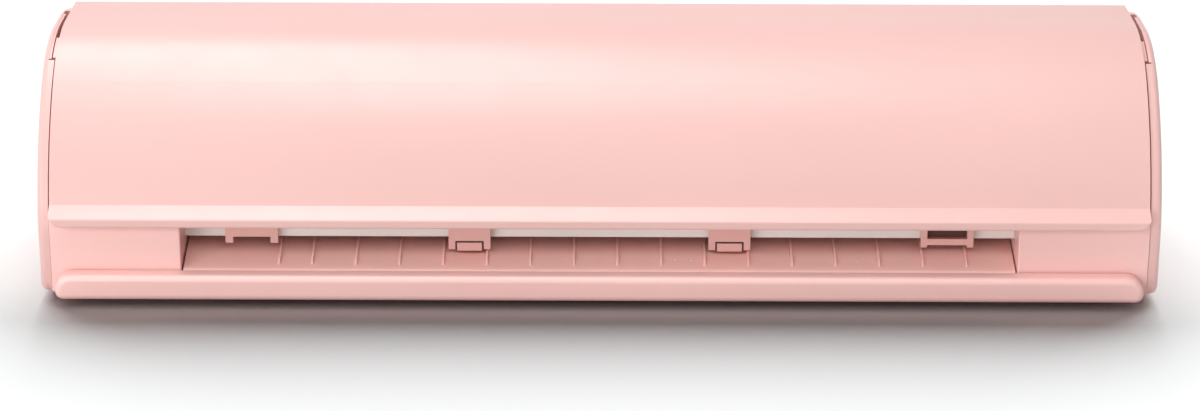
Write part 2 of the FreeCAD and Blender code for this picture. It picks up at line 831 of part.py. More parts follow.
def make_deck_cover(side, label, holes=()):
    """The pod under the lid beside the cutting space: it hides a side frame and its drive."""
    body = new_body(label)
    sign = 1 if side > 0 else -1
    inner, outer = (DECK_IN, DECK_OUT) if side > 0 else (f"-{DECK_IN}", f"-{DECK_OUT}")
    blank = new_sketch(body, label + "_blank", "YZ_Plane", inner)
    front = sweep_at("deck_inset", "(panel_top + deck_rise)")
    crown = crown_end("deck_inset")
    outline(
        blank,
        [
            (front[0], "panel_top"),
            ("deck_rear", "panel_top"),
            ("deck_rear", crown[1]),
            crown,
            (*front, "front_radius - deck_inset", "left"),
        ],
    )
    pad(body, blank, f"{DECK_OUT} - {DECK_IN}", back=sign < 0)
    ridge = number(crown[1])
    long = number(f"({DECK_OUT} - {DECK_IN}) / 2")
    rounded(
        body,
        label + "_edge",
        lambda e: lies_at(e, 2, ridge) and e.BoundBox.XLength > long,
        "deck_wall / 2",
    )
    hollow_start = f"{DECK_IN} + deck_wall"
    hollow_at = hollow_start if sign > 0 else f"-({hollow_start})"
    hollow = new_sketch(body, label + "_hollow", "YZ_Plane", hollow_at)
    inside = "(deck_inset + deck_wall)"
    front_in = sweep_at(inside, "(panel_top + deck_rise)")
    crown_in = crown_end(inside)
    outline(
        hollow,
        [
            (front_in[0], "panel_top - deck_wall"),
            ("deck_rear - deck_wall", "panel_top - deck_wall"),
            ("deck_rear - deck_wall", crown_in[1]),
            crown_in,
            (*front_in, f"front_radius - {inside}", "left"),
        ],
    )
    pocket(body, hollow, f"{DECK_OUT} - {DECK_IN}", back=sign > 0)
    slit = new_sketch(body, label + "_slit", "XZ_Plane", "deck_wall * 2 - deck_rear")
    slit_x = (f"{sign} * ({FRAME_IN} - slide_gap)", f"{sign} * ({FRAME_OUT} + slide_gap)")
    rectangle(slit, slit_x, ("panel_top - deck_wall", f"{RAIL_TOP} + rail_wall + slide_gap"))
    pocket(body, slit, "3 * deck_wall")
    if holes:
        wells = new_sketch(body, label + "_wells", "XY_Plane", crown_in[1])
        for x, y in holes:
            ring(wells, x, y, "button_radius + slide_gap")
        pocket(body, wells, "2 * deck_wall", back=True)
        posts = new_sketch(body, label + "_posts", "XY_Plane", crown_in[1])
        for x in (f"{holes[0][0]} + button_pitch / 2", f"{holes[-1][0]} - button_pitch / 2"):
            ring(posts, x, BUTTON_POST_Y, "post_radius / 2")
        pad(body, posts, BUTTON_DROP, back=True)
    return piece(body, label)


BUTTON_DROP = "(button_rim + button_travel)"
BUTTONS = [(f"(slot_half + button_side + {i} * button_pitch)", "button_back") for i in range(3)]
BUTTON_POST_Y = "(button_back + button_rim - post_radius / 3)"
DECK_TOP = crown_end("deck_inset")[1]
DECK_CEILING = crown_end("(deck_inset + deck_wall)")[1]


def make_buttons():
    """Three round keys with a rim under the deck and a stem over the switch board."""
    for (x, y), label in zip(BUTTONS, ("power_button", "load_button", "pause_button")):
        rim_top = f"{DECK_CEILING} - fit_gap"
        rim_base = f"{rim_top} - button_travel"
        key = rod(label + "_key", "z", (x, y), (rim_top, f"{DECK_TOP} + button_proud"), "button_radius")
        rim = rod(label + "_rim", "z", (x, y), (rim_base, rim_top), "button_rim")
        stem_base = f"{DECK_CEILING} - {BUTTON_DROP} + board_wall + button_travel + running_gap"
        stem = rod(label + "_stem", "z", (x, y), (stem_base, rim_base), "button_radius / 3")
        piece(join(label + "_solid", key, rim, stem), label)


def make_switch_board():
    top = f"{DECK_CEILING} - {BUTTON_DROP}"
    board = box(
        "switch_plate",
        (f"{BUTTONS[0][0]} - button_rim", f"{BUTTONS[-1][0]} + button_rim"),
        ("button_back - 2 * post_radius", "button_back + 2 * post_radius"),
        (f"{top} - board_wall", top),
    )
    switches = [
        box(
            f"switch_{i}",
            (f"{x} - post_radius", f"{x} + post_radius"),
            (f"{y} - post_radius", f"{y} + post_radius"),
            (top, f"{top} + board_wall"),
        )
        for i, (x, y) in enumerate(BUTTONS)
    ]
    return piece(join("switch_board_solid", board, *switches), "switch_board")


# Platen


def ramp_z(y):
    return f"(platen_low + ({y} - platen_front) * {RAMP})"


PINCH_X = {
    "left": "-outer_pinch",
    "left_middle": "-inner_pinch",
    "right_middle": "inner_pinch",
    "right": "outer_pinch",
}


def make_platen():
    """The ribbed feed table: a ramp up from the front slot, then a flat bed to the exit behind."""
    body = new_body("feed_platen")
    bed = new_sketch(body, "platen_bed", "YZ_Plane")
    back = f"cap_flat_back + {COVER_RADIUS} - shell_wall - slide_gap"
    outline(
        bed,
        [
            ("platen_front", "platen_skirt"),
            ("platen_front + platen_wall", "platen_skirt"),
            ("platen_front + platen_wall", ramp_z("platen_front") + " - platen_wall"),
            ("ramp_rear", PLATEN_UNDER),
            (back, PLATEN_UNDER),
            (back, "platen_top"),
            ("ramp_rear", "platen_top"),
            ("platen_front", "platen_low"),
        ],
    )
    pad(body, bed, f"2 * {PLATEN_HALF}", symmetric=True)
    front_y = number("platen_front")
    low = number("platen_low")
    rounded(
        body,
        "platen_nose_round",
        lambda e: lies_at(e, 1, front_y) and lies_at(e, 2, low),
        "platen_nose",
    )
    windows = new_sketch(body, "platen_windows", "XY_Plane", PLATEN_UNDER)
    half = "(grit_length / 2 + 3 * slide_gap)"
    reach = "(grit_radius - slide_gap)"
    window_y = (f"shaft_back - {reach}", f"shaft_back + {reach}")
    for x in PINCH_X.values():
        rectangle(windows, (f"{x} - {half}", f"{x} + {half}"), window_y)
    pocket(body, windows, "2 * platen_wall", back=True)
    leg = new_sketch(body, "platen_leg", "XY_Plane", PLATEN_UNDER)
    rectangle(
        leg,
        (GUIDE_IN, f"{GUIDE_IN} + guide_wall"),
        ("shaft_back + 2 * grit_radius", "tray_length"),
    )
    leg_pad = pad(body, leg, f"{PLATEN_UNDER} - {GUIDE_TOP}", back=True)
    mirrored(body, "platen_legs", [leg_pad])
    add_rib(body, "platen_rib_extra", "rib_extra")
    first = add_rib(body, "platen_rib", "rib_first")
    pattern = body.newObject("PartDesign::LinearPattern", "platen_ribs")
    pattern.Originals = [first]
    axis = next(f for f in body.Origin.OriginFeatures if f.Role == "X_Axis")
    pattern.Direction = (axis, [""])
    tie(pattern, "Length", "rib_pitch * (rib_count - 1)")
    tie(pattern, "Occurrences", "rib_count")
    body.Tip = pattern
    return piece(body, "feed_platen")


def add_rib(body, name, x):
    """One low rib up the ramp, its front end tapering into the surface."""
    sketch = new_sketch(body, name, "YZ_Plane", x)
    outline(
        sketch,
        [
            ("rib_front", ramp_z("rib_front") + " - rib_height / 2"),
            ("ramp_rear", "platen_top - rib_height / 2"),
            ("ramp_rear", "platen_top + rib_height / 4"),
            ("ramp_rear - 4 * rib_height", ramp_z("(ramp_rear - 4 * rib_height)") + " + rib_height"),
            ("rib_front + 3 * rib_height", ramp_z("(rib_front + 3 * rib_height)") + " + rib_height"),
            ("rib_front", ramp_z("rib_front") + " + rib_height / 10"),
        ],
    )
    return pad(body, sketch, "rib_width", symmetric=True)


def make_cutting_strip():
    half = f"{PLATEN_HALF}"
    strip = box(
        "strip",
        (f"-{half}", half),
        ("cut_line - strip_width / 2", "cut_line + strip_width / 2"),
        ("platen_top", "platen_top + strip_height"),
    )
    return piece(strip, "cutting_strip")


# Pull-out tray


def make_tray():
    """The tray's plate with a raised runner along each side."""
    low = f"{FLOOR} + slide_gap"
    body = new_body("media_tray")
    section = new_sketch(body, "tray_section", "XZ_Plane", "tray_proud - tray_thick")
    inner = "(tray_plate_half - guide_wall + slide_gap)"
    outline(
        section,
        [
            ("-tray_plate_half", low),
            ("tray_plate_half", low),
            ("tray_plate_half", TRAY_EDGE_TOP),
            (inner, TRAY_EDGE_TOP),
            (inner, TRAY_PLATE_TOP),
            (f"-{inner}", TRAY_PLATE_TOP),
            (f"-{inner}", TRAY_EDGE_TOP),
            ("-tray_plate_half", TRAY_EDGE_TOP),
        ],
    )
    pad(body, section, "tray_length", back=True)
    return piece(body, "media_tray")


def make_tray_front():
    """The long rounded bar across the machine's foot, which pulls the tray out."""
    body = new_body("tray_front")
    bar = new_sketch(body, "tray_bar", "XZ_Plane", "tray_proud")
    outline(
        bar,
        [
            ("tray_foot_corner - tray_half", "tray_base", "tray_foot_corner", "left"),
            ("tray_half - tray_foot_corner", "tray_base"),
            ("tray_half", "tray_base + tray_foot_corner", "tray_foot_corner", "left"),
            ("tray_half", "tray_top - tray_corner"),
            ("tray_half - tray_corner", "tray_top", "tray_corner", "left"),
            ("tray_corner - tray_half", "tray_top"),
            ("-tray_half", "tray_top - tray_corner", "tray_corner", "left"),
            ("-tray_half", "tray_base + tray_foot_corner"),
        ],
    )
    pad(body, bar, "tray_thick", back=True)
    front_y = number("-tray_proud")
    rounded(body, "tray_bar_round", lambda e: lies_at(e, 1, front_y), "tray_foot_corner * 3 / 4")
    return piece(body, "tray_front")


# Side frames


def make_side_frame(side, label):
    """A folded steel plate that carries the rail, the rods and the feed shaft, with a foot flange."""
    body = new_body(label)
    sign = "" if side > 0 else "-"
    plate = new_sketch(body, label + "_plate", "YZ_Plane", f"{sign}{FRAME_IN}")
    ceiling = DECK_CEILING
    nose = sweep_at("(deck_inset + deck_wall + 6 * slide_gap)", "(panel_top + deck_rise)")
    brow = crown_end("(deck_inset + deck_wall + 6 * slide_gap)")
    outline(
        plate,
        [
            ("shell_wall * 2", FLOOR),
            ("frame_rear", FLOOR),
            ("frame_rear", "rail_base"),
            ("belt_back + belt_width", f"{RAIL_TOP} + rail_wall"),
            ("deck_rear - deck_wall - slide_gap", f"{RAIL_TOP} + rail_wall"),
            ("deck_rear - deck_wall - slide_gap", ceiling),
            (f"{brow[0]} + 10 * slide_gap", ceiling),
            nose,
            (nose[0], "panel_top - deck_wall"),
            ("shell_wall * 2", "panel_top - deck_wall"),
        ],
    )
    pad(body, plate, "frame_wall", back=side < 0)
    flange = new_sketch(body, label + "_flange", "XY_Plane", FLOOR)
    edges = (f"{sign}{FRAME_OUT}", f"{sign}({FRAME_OUT} + frame_flange)")
    rectangle(flange, edges, ("shell_wall * 2", "frame_rear"))
    pad(body, flange, "frame_wall")
    holes = new_sketch(body, label + "_screw_holes", "XY_Plane", FLOOR)
    for y in ("ramp_rear / 2", "frame_rear - ramp_rear / 2"):
        ring(holes, f"{sign}{SCREW_X}", y, "screw_radius + fit_gap")
    pocket(body, holes, "2 * frame_wall", back=True)
    relief = new_sketch(body, label + "_gear_relief", "XY_Plane", FLOOR)
    relief_x = (f"{sign}({GEAR_X} - slide_gap)", f"{sign}({GEAR_X} + gear_width + slide_gap)")
    rectangle(relief, relief_x, (f"shaft_back - {GEAR_TIP}", f"shaft_back + {GEAR_TIP}"))
    pocket(body, relief, "2 * frame_wall", back=True)
    bore = new_sketch(body, label + "_bush_hole", "YZ_Plane", f"{sign}{FRAME_IN}")
    ring(bore, "shaft_back", SHAFT_Z, "bush_radius + fit_gap")
    pocket(body, bore, "4 * frame_wall", both=True)
    return piece(body, label)


def make_bushes():
    """A flanged bush in each side frame, for the feed shaft."""
    bushes = []
    for side, name in ((1, "right_bush"), (-1, "left_bush")):
        def span(low, high):
            return (low, high) if side > 0 else (f"-({high})", f"-({low})")

        sleeve_span = span(f"{FRAME_IN} - frame_wall", FRAME_OUT)
        sleeve = rod(name + "_sleeve", "x", ("shaft_back", SHAFT_Z), sleeve_span, "bush_radius")
        flange_span = span(FRAME_OUT, f"{FRAME_OUT} + frame_wall / 2")
        flange = rod(name + "_flange", "x", ("shaft_back", SHAFT_Z), flange_span, "bush_flange")
        hole_span = span(f"{FRAME_IN} - 2 * frame_wall", f"{FRAME_OUT} + 2 * frame_wall")
        hole = rod(name + "_hole", "x", ("shaft_back", SHAFT_Z), hole_span, "shaft_radius + running_gap")
        bushes.append(cut(name, join(name + "_blank", sleeve, flange), hole))
    return piece(group("bushes", *bushes), "shaft_bushes")


# Feed shaft, gears and feed motor


def make_feed_shaft():
    span = (f"-({GEAR_X} + gear_width)", f"{FRAME_OUT} + frame_wall")
    return piece(rod("shaft", "x", ("shaft_back", SHAFT_Z), span, "shaft_radius"), "feed_shaft")


def make_grit_rollers():
    """The four knurled drive rollers on the shaft, one under each pinch roller."""
    rollers = []
    for side, x in PINCH_X.items():
        span = (f"{x} - grit_length / 2", f"{x} + grit_length / 2")
        tyre = rod(f"grit_{side}_tyre", "x", ("shaft_back", SHAFT_Z), span, "grit_radius")
        bore_span = (f"{x} - grit_length", f"{x} + grit_length")
        bore = rod(f"grit_{side}_bore", "x", ("shaft_back", SHAFT_Z), bore_span, "shaft_radius + fit_gap")
        rollers.append(cut(f"grit_{side}", tyre, bore))
    return piece(group("grit", *rollers), "grit_rollers")


def involute_profile(teeth, module, backlash, phase):
    """The closed outline of a spur gear about the origin, one tooth centred on the angle phase."""
    pitch = module * teeth / 2
    base = pitch * math.cos(math.radians(20))
    tip, root = pitch + module, pitch - 1.25 * module
    start = max(base, root)

    def spread(radius):
        """The angle between the tooth's middle and its flank at a radius."""
        roll = math.acos(min(1.0, base / radius))
        at_pitch = math.acos(base / pitch)
        half_tooth = (math.pi / 2 - backlash / module) / teeth
        return half_tooth + (math.tan(at_pitch) - at_pitch) - (math.tan(roll) - roll)

    def point(radius, angle):
        return FreeCAD.Vector(0, radius * math.cos(angle), radius * math.sin(angle))

    edges = []
    step = 2 * math.pi / teeth
    middle = (start + tip) / 2
    for tooth in range(teeth):
        axis = phase + tooth * step
        left = [point(r, axis + spread(r)) for r in (start, middle, tip)]
        right = [point(r, axis - spread(r)) for r in (start, middle, tip)]
        feet = [point(root, axis - spread(start)), point(root, axis + spread(start))]
        following = point(root, axis + step - spread(start))
        if start > root:
            edges.append(Part.LineSegment(feet[0], right[0]))
        edges.append(Part.Arc(*right))
        edges.append(Part.Arc(right[2], point(tip, axis), left[2]))
        edges.append(Part.Arc(left[2], left[1], left[0]))
        if start > root:
            edges.append(Part.LineSegment(left[0], feet[1]))
        edges.append(Part.Arc(feet[1], point(root, axis + step / 2), following))
    return Part.Wire([e.toShape() for e in edges])


def make_gear(label, teeth, centre, bore, phase):
    """A spur gear about X: its tooth form comes from the sheet's module, teeth and backlash."""
    made = doc.addObject("Part::Feature", label)
    wire = involute_profile(int(number(teeth)), number("gear_module"), number("gear_backlash"), phase)
    disc = Part.Face(wire).extrude(FreeCAD.Vector(number("gear_width"), 0, 0))
    hole_start = FreeCAD.Vector(-number("gear_width"), 0, 0)
    hole = Part.makeCylinder(number(bore), 3 * number("gear_width"), hole_start, FreeCAD.Vector(1, 0, 0))
    made.Shape = disc.cut(hole)
    place = (f"-({GEAR_X} + gear_width)", f"{centre[0]} + {SHIFT}", centre[1])
    made.Placement = FreeCAD.Placement(FreeCAD.Vector(*map(number, place)), FreeCAD.Rotation())
    return piece(made, label)


def make_gears():
    """The shaft's wheel has a tooth on the line to the pinion, and the pinion a space there."""
    climb = math.radians(number("gear_climb"))
    half_pitch = math.pi / number("pinion_teeth")
    make_gear("feed_gear", "gear_teeth", ("shaft_back", SHAFT_Z), "shaft_radius + fit_gap", climb)
    pinion_phase = climb + math.pi + half_pitch
    make_gear("motor_pinion", "pinion_teeth", (PINION_Y, PINION_Z), "motor_shaft + fit_gap", pinion_phase)


def make_feed_motor():
    start = f"-({BRACKET_X} + bracket_wall)"
    centre = (PINION_Y, PINION_Z)
    flange_end = f"{start} - bracket_wall"
    flange = box(
        "feed_motor_flange",
        (flange_end, start),
        (f"{PINION_Y} - motor_side / 2", f"{PINION_Y} + motor_side / 2"),
        (f"{PINION_Z} - motor_boss", f"{PINION_Z} + motor_boss"),
    )
    can_span = (f"{start} - motor_length", start)
    can = rod("feed_motor_can", "x", centre, can_span, "motor_side / 2 - motor_step")
    boss = rod("feed_motor_boss", "x", centre, (start, f"{start} + bracket_wall"), "motor_boss")
    plug = box(
        "feed_motor_plug",
        (f"{start} - motor_length", f"{start} - motor_length / 2"),
        (f"{PINION_Y} - motor_boss", f"{PINION_Y} + motor_boss"),
        (PINION_Z, f"{PINION_Z} + motor_side / 2"),
    )
    return piece(join("feed_motor_solid", can, flange, boss, plug), "feed_motor")


def make_pinion_shaft():
    start = f"slide_gap / 4 - {BRACKET_X}"
    shaft = rod("pinion_rod", "x", (PINION_Y, PINION_Z), (start, f"-{GEAR_X}"), "motor_shaft")
    return piece(shaft, "pinion_shaft")


def make_feed_motor_bracket():
    """A folded plate: it stands off the left side frame and holds the feed motor."""
    near_face, far_face = f"-{BRACKET_X}", f"-({BRACKET_X} + bracket_wall)"
    y = (f"{PINION_Y} - motor_side / 2", f"{PINION_Y} + motor_side / 2 + 2 * bracket_wall")
    z = (f"{PINION_Z} - motor_side / 2", f"{PINION_Z} + motor_side / 2 + 2 * bracket_wall")
    plate = box("bracket_plate", (far_face, near_face), y, z)
    top = box("bracket_top", (near_face, f"-{FRAME_OUT}"), y, (f"{z[1]} - bracket_wall", z[1]))
    back = box("bracket_back", (near_face, f"-{FRAME_OUT}"), (f"{y[1]} - bracket_wall", y[1]), z)
    hole_span = (f"{far_face} - bracket_wall", f"{near_face} + bracket_wall")
    hole = rod("bracket_hole", "x", (PINION_Y, PINION_Z), hole_span, "motor_boss + fit_gap")
    solid = cut("bracket_solid", join("bracket_blank", plate, top, back), hole)
    return piece(solid, "feed_motor_bracket")


# Pinch rollers


def make_roller_bar():
    """The pale channel across the slot, behind the pinch arms' front plates."""
    body = new_body("roller_bar")
    section = new_sketch(body, "bar_section", "YZ_Plane")
    front, back = "bar_front", "bar_front + bar_depth"
    low, high = "bar_base", "bar_base + bar_height"
    outline(
        section,
        [
            (front, low),
            (back, low),
            (back, f"{low} + bar_wall"),
            (f"{front} + bar_wall", f"{low} + bar_wall"),
            (f"{front} + bar_wall", f"{high} - bar_wall"),
            (back, f"{high} - bar_wall"),
            (back, high),
            (front, high),
        ],
    )
    pad(body, section, f"2 * {FRAME_IN}", symmetric=True)
    front_y = number("bar_front")
    long = number(FRAME_IN)
    rounded(
        body,
        "bar_bend",
        lambda e: lies_at(e, 1, front_y) and e.BoundBox.XLength > long,
        "bar_wall * 2 / 3",
    )
    return piece(body, "roller_bar")


def make_pivot_rod():
    span = (f"-{FRAME_IN}", FRAME_IN)
    centre = ("pinch_pivot_back", "pinch_pivot_height")
    return piece(rod("pivot_rod", "x", centre, span, "pinch_rod"), "pinch_pivot_rod")


def make_pinch_arm(side, x, width, front):
    """A rocking arm on the pivot rod: two legs to the roller, a top web over the bar and a front plate."""
    label = f"{side}_pinch_arm"
    half = f"({width} / 2)"
    edges = (f"{x} - {half}", f"{x} + {half}")
    pivot = ("pinch_pivot_back", "pinch_pivot_height")
    web_base = "(bar_base + bar_height + slide_gap)"
    web_top = f"({web_base} + pinch_plate)"
    plate_y = ("pinch_plate_front", "pinch_plate_front + pinch_plate")
    solids = [
        rod(label + "_hub", "x", pivot, edges, "pinch_hub"),
        box(label + "_web", edges, (plate_y[0], pivot[0]), (web_base, web_top)),
    ]
    for i, low in enumerate((edges[0], f"{edges[1]} - pinch_leg")):
        solids.append(
            box(
                f"{label}_leg_{i}",
                (low, f"{low} + pinch_leg"),
                ("shaft_back - pinch_hub + slide_gap", pivot[0]),
                (f"{PINCH_Z} - pinch_hub + slide_gap", web_top),
            )
        )
    solids += front(label, edges, plate_y, web_top)
    blank = join(label + "_blank", *solids)
    bore = rod(label + "_bore", "x", pivot, edges, "pinch_rod + running_gap")
    axle = rod(label + "_axle_bore", "x", ("shaft_back", PINCH_Z), edges, "pinch_axle + running_gap")
    return piece(cut(label + "_solid", blank, bore, axle), label)


PLATE_BASE = "(bar_base - pinch_plate * 2 / 3)"


def lugged_front(label, edges, y, top):
    """An upright plate with a longer lug at each end."""
    plate = box(label + "_plate", edges, y, ("bar_base + pinch_plate / 2", top))
    lug = "pinch_plate * 1.2"
    left = box(label + "_lug_0", (edges[0], f"{edges[0]} + {lug}"), y, (f"{PLATE_BASE} + slide_gap", top))
    right = box(label + "_lug_1", (f"{edges[1]} - {lug}", edges[1]), y, (f"{PLATE_BASE} + slide_gap", top))
    return [plate, left, right]


def framed_front(label, edges, y, top):
    """A bar hung on two end posts, which leaves a window over it, with a small toe at each end."""
    lug = "pinch_plate"
    bar_top = "bar_base + pinch_plate / 2"
    bar = box(label + "_bar", edges, y, (f"{PLATE_BASE} + slide_gap", bar_top))
    parts = [bar]
    for i, low in enumerate((edges[0], f"{edges[1]} - {lug}")):
        high = f"{low} + {lug}"
        parts.append(box(f"{label}_post_{i}", (low, high), y, (PLATE_BASE, top)))
        parts.append(box(f"{label}_toe_{i}", (low, high), y, (f"{PLATE_BASE} - slide_gap * 2", bar_top)))
    return parts


def tabbed_front(label, edges, y, top):
    """A full plate with a raised finger tab at the middle of its lower edge."""
    base = "(platen_top - slide_gap * 2)"
    plate = box(label + "_plate", edges, y, (base, top))
    middle = f"(({edges[0]}) + ({edges[1]})) / 2"
    reach = "pinch_plate * 2"
    tab = box(
        label + "_tab",
        (f"{middle} - {reach}", f"{middle} + {reach}"),
        (f"{y[0]} - slide_gap * 2", y[1]),
        (f"{base} - slide_gap", f"{base} + pinch_plate * 1.2"),
    )
    return [plate, tab]


def make_pinch_rollers():
    """A roller with its axle turning in each arm."""
    for side, x in PINCH_X.items():
        width = "inner_pinch_width" if "middle" in side else "outer_pinch_width"
        half = f"({width} / 2)"
        reach = f"({half} - pinch_leg - slide_gap)"
        label = f"{side}_pinch_roller"
        centre = ("shaft_back", PINCH_Z)
        tyre = rod(label + "_tyre", "x", centre, (f"{x} - {reach}", f"{x} + {reach}"), "pinch_radius")
        axle = rod(label + "_axle", "x", centre, (f"{x} - {half}", f"{x} + {half}"), "pinch_axle")
        piece(join(label + "_solid", tyre, axle), label)


# Carriage drive


def make_rail():
    """The carriage's guide rail: a channel open to the back."""
    body = new_body("carriage_rail")
    section = new_sketch(body, "rail_section", "YZ_Plane")
    front, back = "rail_front", "rail_front + rail_depth"
    outline(
        section,
        [
            (front, "rail_base"),
            (back, "rail_base"),
            (back, "rail_base + rail_wall"),
            (f"{front} + rail_wall", "rail_base + rail_wall"),
            (f"{front} + rail_wall", f"{RAIL_TOP} - rail_wall"),
            (back, f"{RAIL_TOP} - rail_wall"),
            (back, RAIL_TOP),
            (front, RAIL_TOP),
        ],
    )
    pad(body, section, f"2 * {FRAME_IN}", symmetric=True)
    return piece(body, "carriage_rail")


def make_belt():
    """The carriage's belt loop round its two pulleys."""
    body = new_body("timing_belt")
    loop = new_sketch(body, "belt_loop", "XZ_Plane", "-belt_back")
    for radius in ("pulley_radius + belt_wall + running_gap", "pulley_radius + running_gap"):
        outline(
            loop,
            [
                ("pulley_half", f"belt_height + {radius}", radius, "left"),
                ("-pulley_half", f"belt_height + {radius}"),
                (f"-pulley_half - ({radius})", "belt_height", radius, "left"),
                ("-pulley_half", f"belt_height - ({radius})", radius, "left"),
                ("pulley_half", f"belt_height - ({radius})"),
                (f"pulley_half + {radius}", "belt_height", radius, "left"),
            ],
        )
    pad(body, loop, "belt_width", back=True)
    return piece(body, "timing_belt")


PULLEY_SPAN = ("belt_back - slide_gap", "belt_back + belt_width + slide_gap")
PLATE_START = f"({PULLEY_SPAN[1]} + pulley_flange_wall + slide_gap)"


def make_pulley(label, x, bore):
    """A flanged belt pulley about Y."""
    low, high = PULLEY_SPAN
    centre = (x, "belt_height")
    drum = rod(label + "_drum", "y", centre, (low, high), "pulley_radius")
    ends = ((f"{low} - pulley_flange_wall", low), (high, f"{high} + pulley_flange_wall"))
    flanges = [rod(f"{label}_flange_{i}", "y", centre, span, "pulley_flange") for i, span in enumerate(ends)]
    hole = rod(label + "_bore", "y", centre, (ends[0][0], ends[1][1]), bore)
    return piece(cut(label + "_solid", join(label + "_blank", drum, *flanges), hole), label)


def pulley_plate(label, sign, hole):
    """A bracket behind the rail: an upright plate on a foot that meets the rail's flanges."""
    steps = ("- carriage_motor_side / 2", "+ carriage_motor_side / 2")
    x = [f"{sign} * (pulley_half {step})" for step in steps]
    x = x if sign > 0 else x[::-1]
    foot_out = f"{FRAME_IN} - slide_gap"
    foot_in = "pulley_half + pulley_flange + 2 * slide_gap"
    foot_x = (foot_in, foot_out) if sign > 0 else (f"-({foot_out})", f"-({foot_in})")
    plate_y = (PLATE_START, f"{PLATE_START} + bracket_wall")
    plate_x = (x[0], foot_x[1]) if sign > 0 else (foot_x[0], x[1])
    z = ("rail_base", "belt_height + carriage_motor_side / 2")
    plate = box(label + "_plate", plate_x, plate_y, z)
    foot = box(label + "_foot", foot_x, ("rail_front + rail_depth", plate_y[0]), ("rail_base", RAIL_TOP))
    blank = join(label + "_blank", plate, foot)
    bore_span = (f"{plate_y[0]} - bracket_wall", f"{plate_y[1]} + bracket_wall")
    bore = rod(label + "_bore", "y", (f"{sign} * pulley_half", "belt_height"), bore_span, hole)
    return piece(cut(label + "_solid", blank, bore), label)


def make_carriage_motor():
    start = f"{PLATE_START} + bracket_wall"
    x = ("pulley_half - carriage_motor_side / 2", "pulley_half + carriage_motor_side / 2")
    z = ("belt_height - carriage_motor_side / 2", "belt_height + carriage_motor_side / 2")
    end = f"{start} + carriage_motor_length"
    centre = ("pulley_half", "belt_height")
    can = rod("carriage_motor_can", "y", centre, (start, end), "carriage_motor_side / 2 - motor_step")
    flange_z = ("belt_height - motor_boss", "belt_height + motor_boss")
    flange = box("carriage_motor_flange", x, (start, f"{start} + bracket_wall"), flange_z)
    boss = rod("carriage_motor_boss", "y", centre, (PLATE_START, start), "motor_boss")
    plug_x = ("pulley_half - motor_boss", "pulley_half + motor_boss")
    plug_y = (f"{end} - carriage_motor_length / 2", end)
    plug = box("carriage_motor_plug", plug_x, plug_y, ("belt_height", z[1]))
    return piece(join("carriage_motor_solid", can, flange, boss, plug), "carriage_motor")


def make_pulley_shafts():
    """The motor's shaft in the drive pulley, and the pin in the plate that the idler turns on."""
    nose = f"{PULLEY_SPAN[0]} - pulley_flange_wall"
    drive_span = (nose, f"{PLATE_START} - slide_gap / 2")
    drive = rod("drive_shaft_rod", "y", ("pulley_half", "belt_height"), drive_span, "motor_shaft")
    piece(drive, "drive_shaft")
    pin_end = f"{PLATE_START} + bracket_wall"
    pin = rod("idler_pin_rod", "y", ("-pulley_half", "belt_height"), (nose, pin_end), "motor_shaft")
    piece(pin, "idler_pin")


# Carriage and tools


def make_carriage():
    """The tool carriage: a block with two tool bores, gripping the rail above and below."""
    x = ("carriage_park - carriage_half", "carriage_park + carriage_half")
    back = "rail_front - slide_gap"
    block = box("carriage_block", x, ("carriage_front", back), ("carriage_base", "carriage_top"))
    grip = "(rail_depth - slide_gap)"
    upper = box("carriage_upper", x, (back, f"{back} + {grip}"), (f"{RAIL_TOP} + slide_gap", "carriage_top"))
    lower = box("carriage_lower", x, (back, f"{back} + {grip}"), ("carriage_base", "rail_base - slide_gap"))
    belt_top = "(belt_height + pulley_radius + running_gap + belt_wall)"
    arm_x = ("carriage_park - belt_width", "carriage_park + belt_width")
    arm_end = "belt_back + belt_width + slide_gap"
    arm_z = (f"{RAIL_TOP} + slide_gap", "carriage_top")
    arm = box("carriage_arm", arm_x, (f"{back} + {grip}", arm_end), arm_z)
    finger_y = ("rail_front + rail_depth + slide_gap", arm_end)
    finger = box("carriage_finger", arm_x, finger_y, (f"{belt_top} + slide_gap", "carriage_top"))
    tools = []
    for i, sign in enumerate(("-", "+")):
        centre = (f"carriage_park {sign} tool_half", "cut_line")
        span = ("carriage_base - slide_gap", "carriage_top + slide_gap")
        tools.append(rod(f"tool_bore_{i}", "z", centre, span, "tool_radius + running_gap"))
        well_half = "(lock_width / 2 + slide_gap / 2)"
        wide = (f"{centre[0]} - {well_half}", f"{centre[0]} + {well_half}")
        z = (f"{LOCK_BASE} - slide_gap / 2", f"{LOCK_BASE} + lock_height + slide_gap / 2")
        tools.append(box(f"lock_well_{i}", wide, ("carriage_front - slide_gap", LOCK_BACK), z))
    blank = join("carriage_blank", block, upper, lower, arm, finger)
    return piece(cut("carriage_solid", blank, *tools), "carriage_body")


LOCK_BASE = "(carriage_top - 2 * lock_height)"
LOCK_BACK = "(cut_line - tool_radius - slide_gap)"


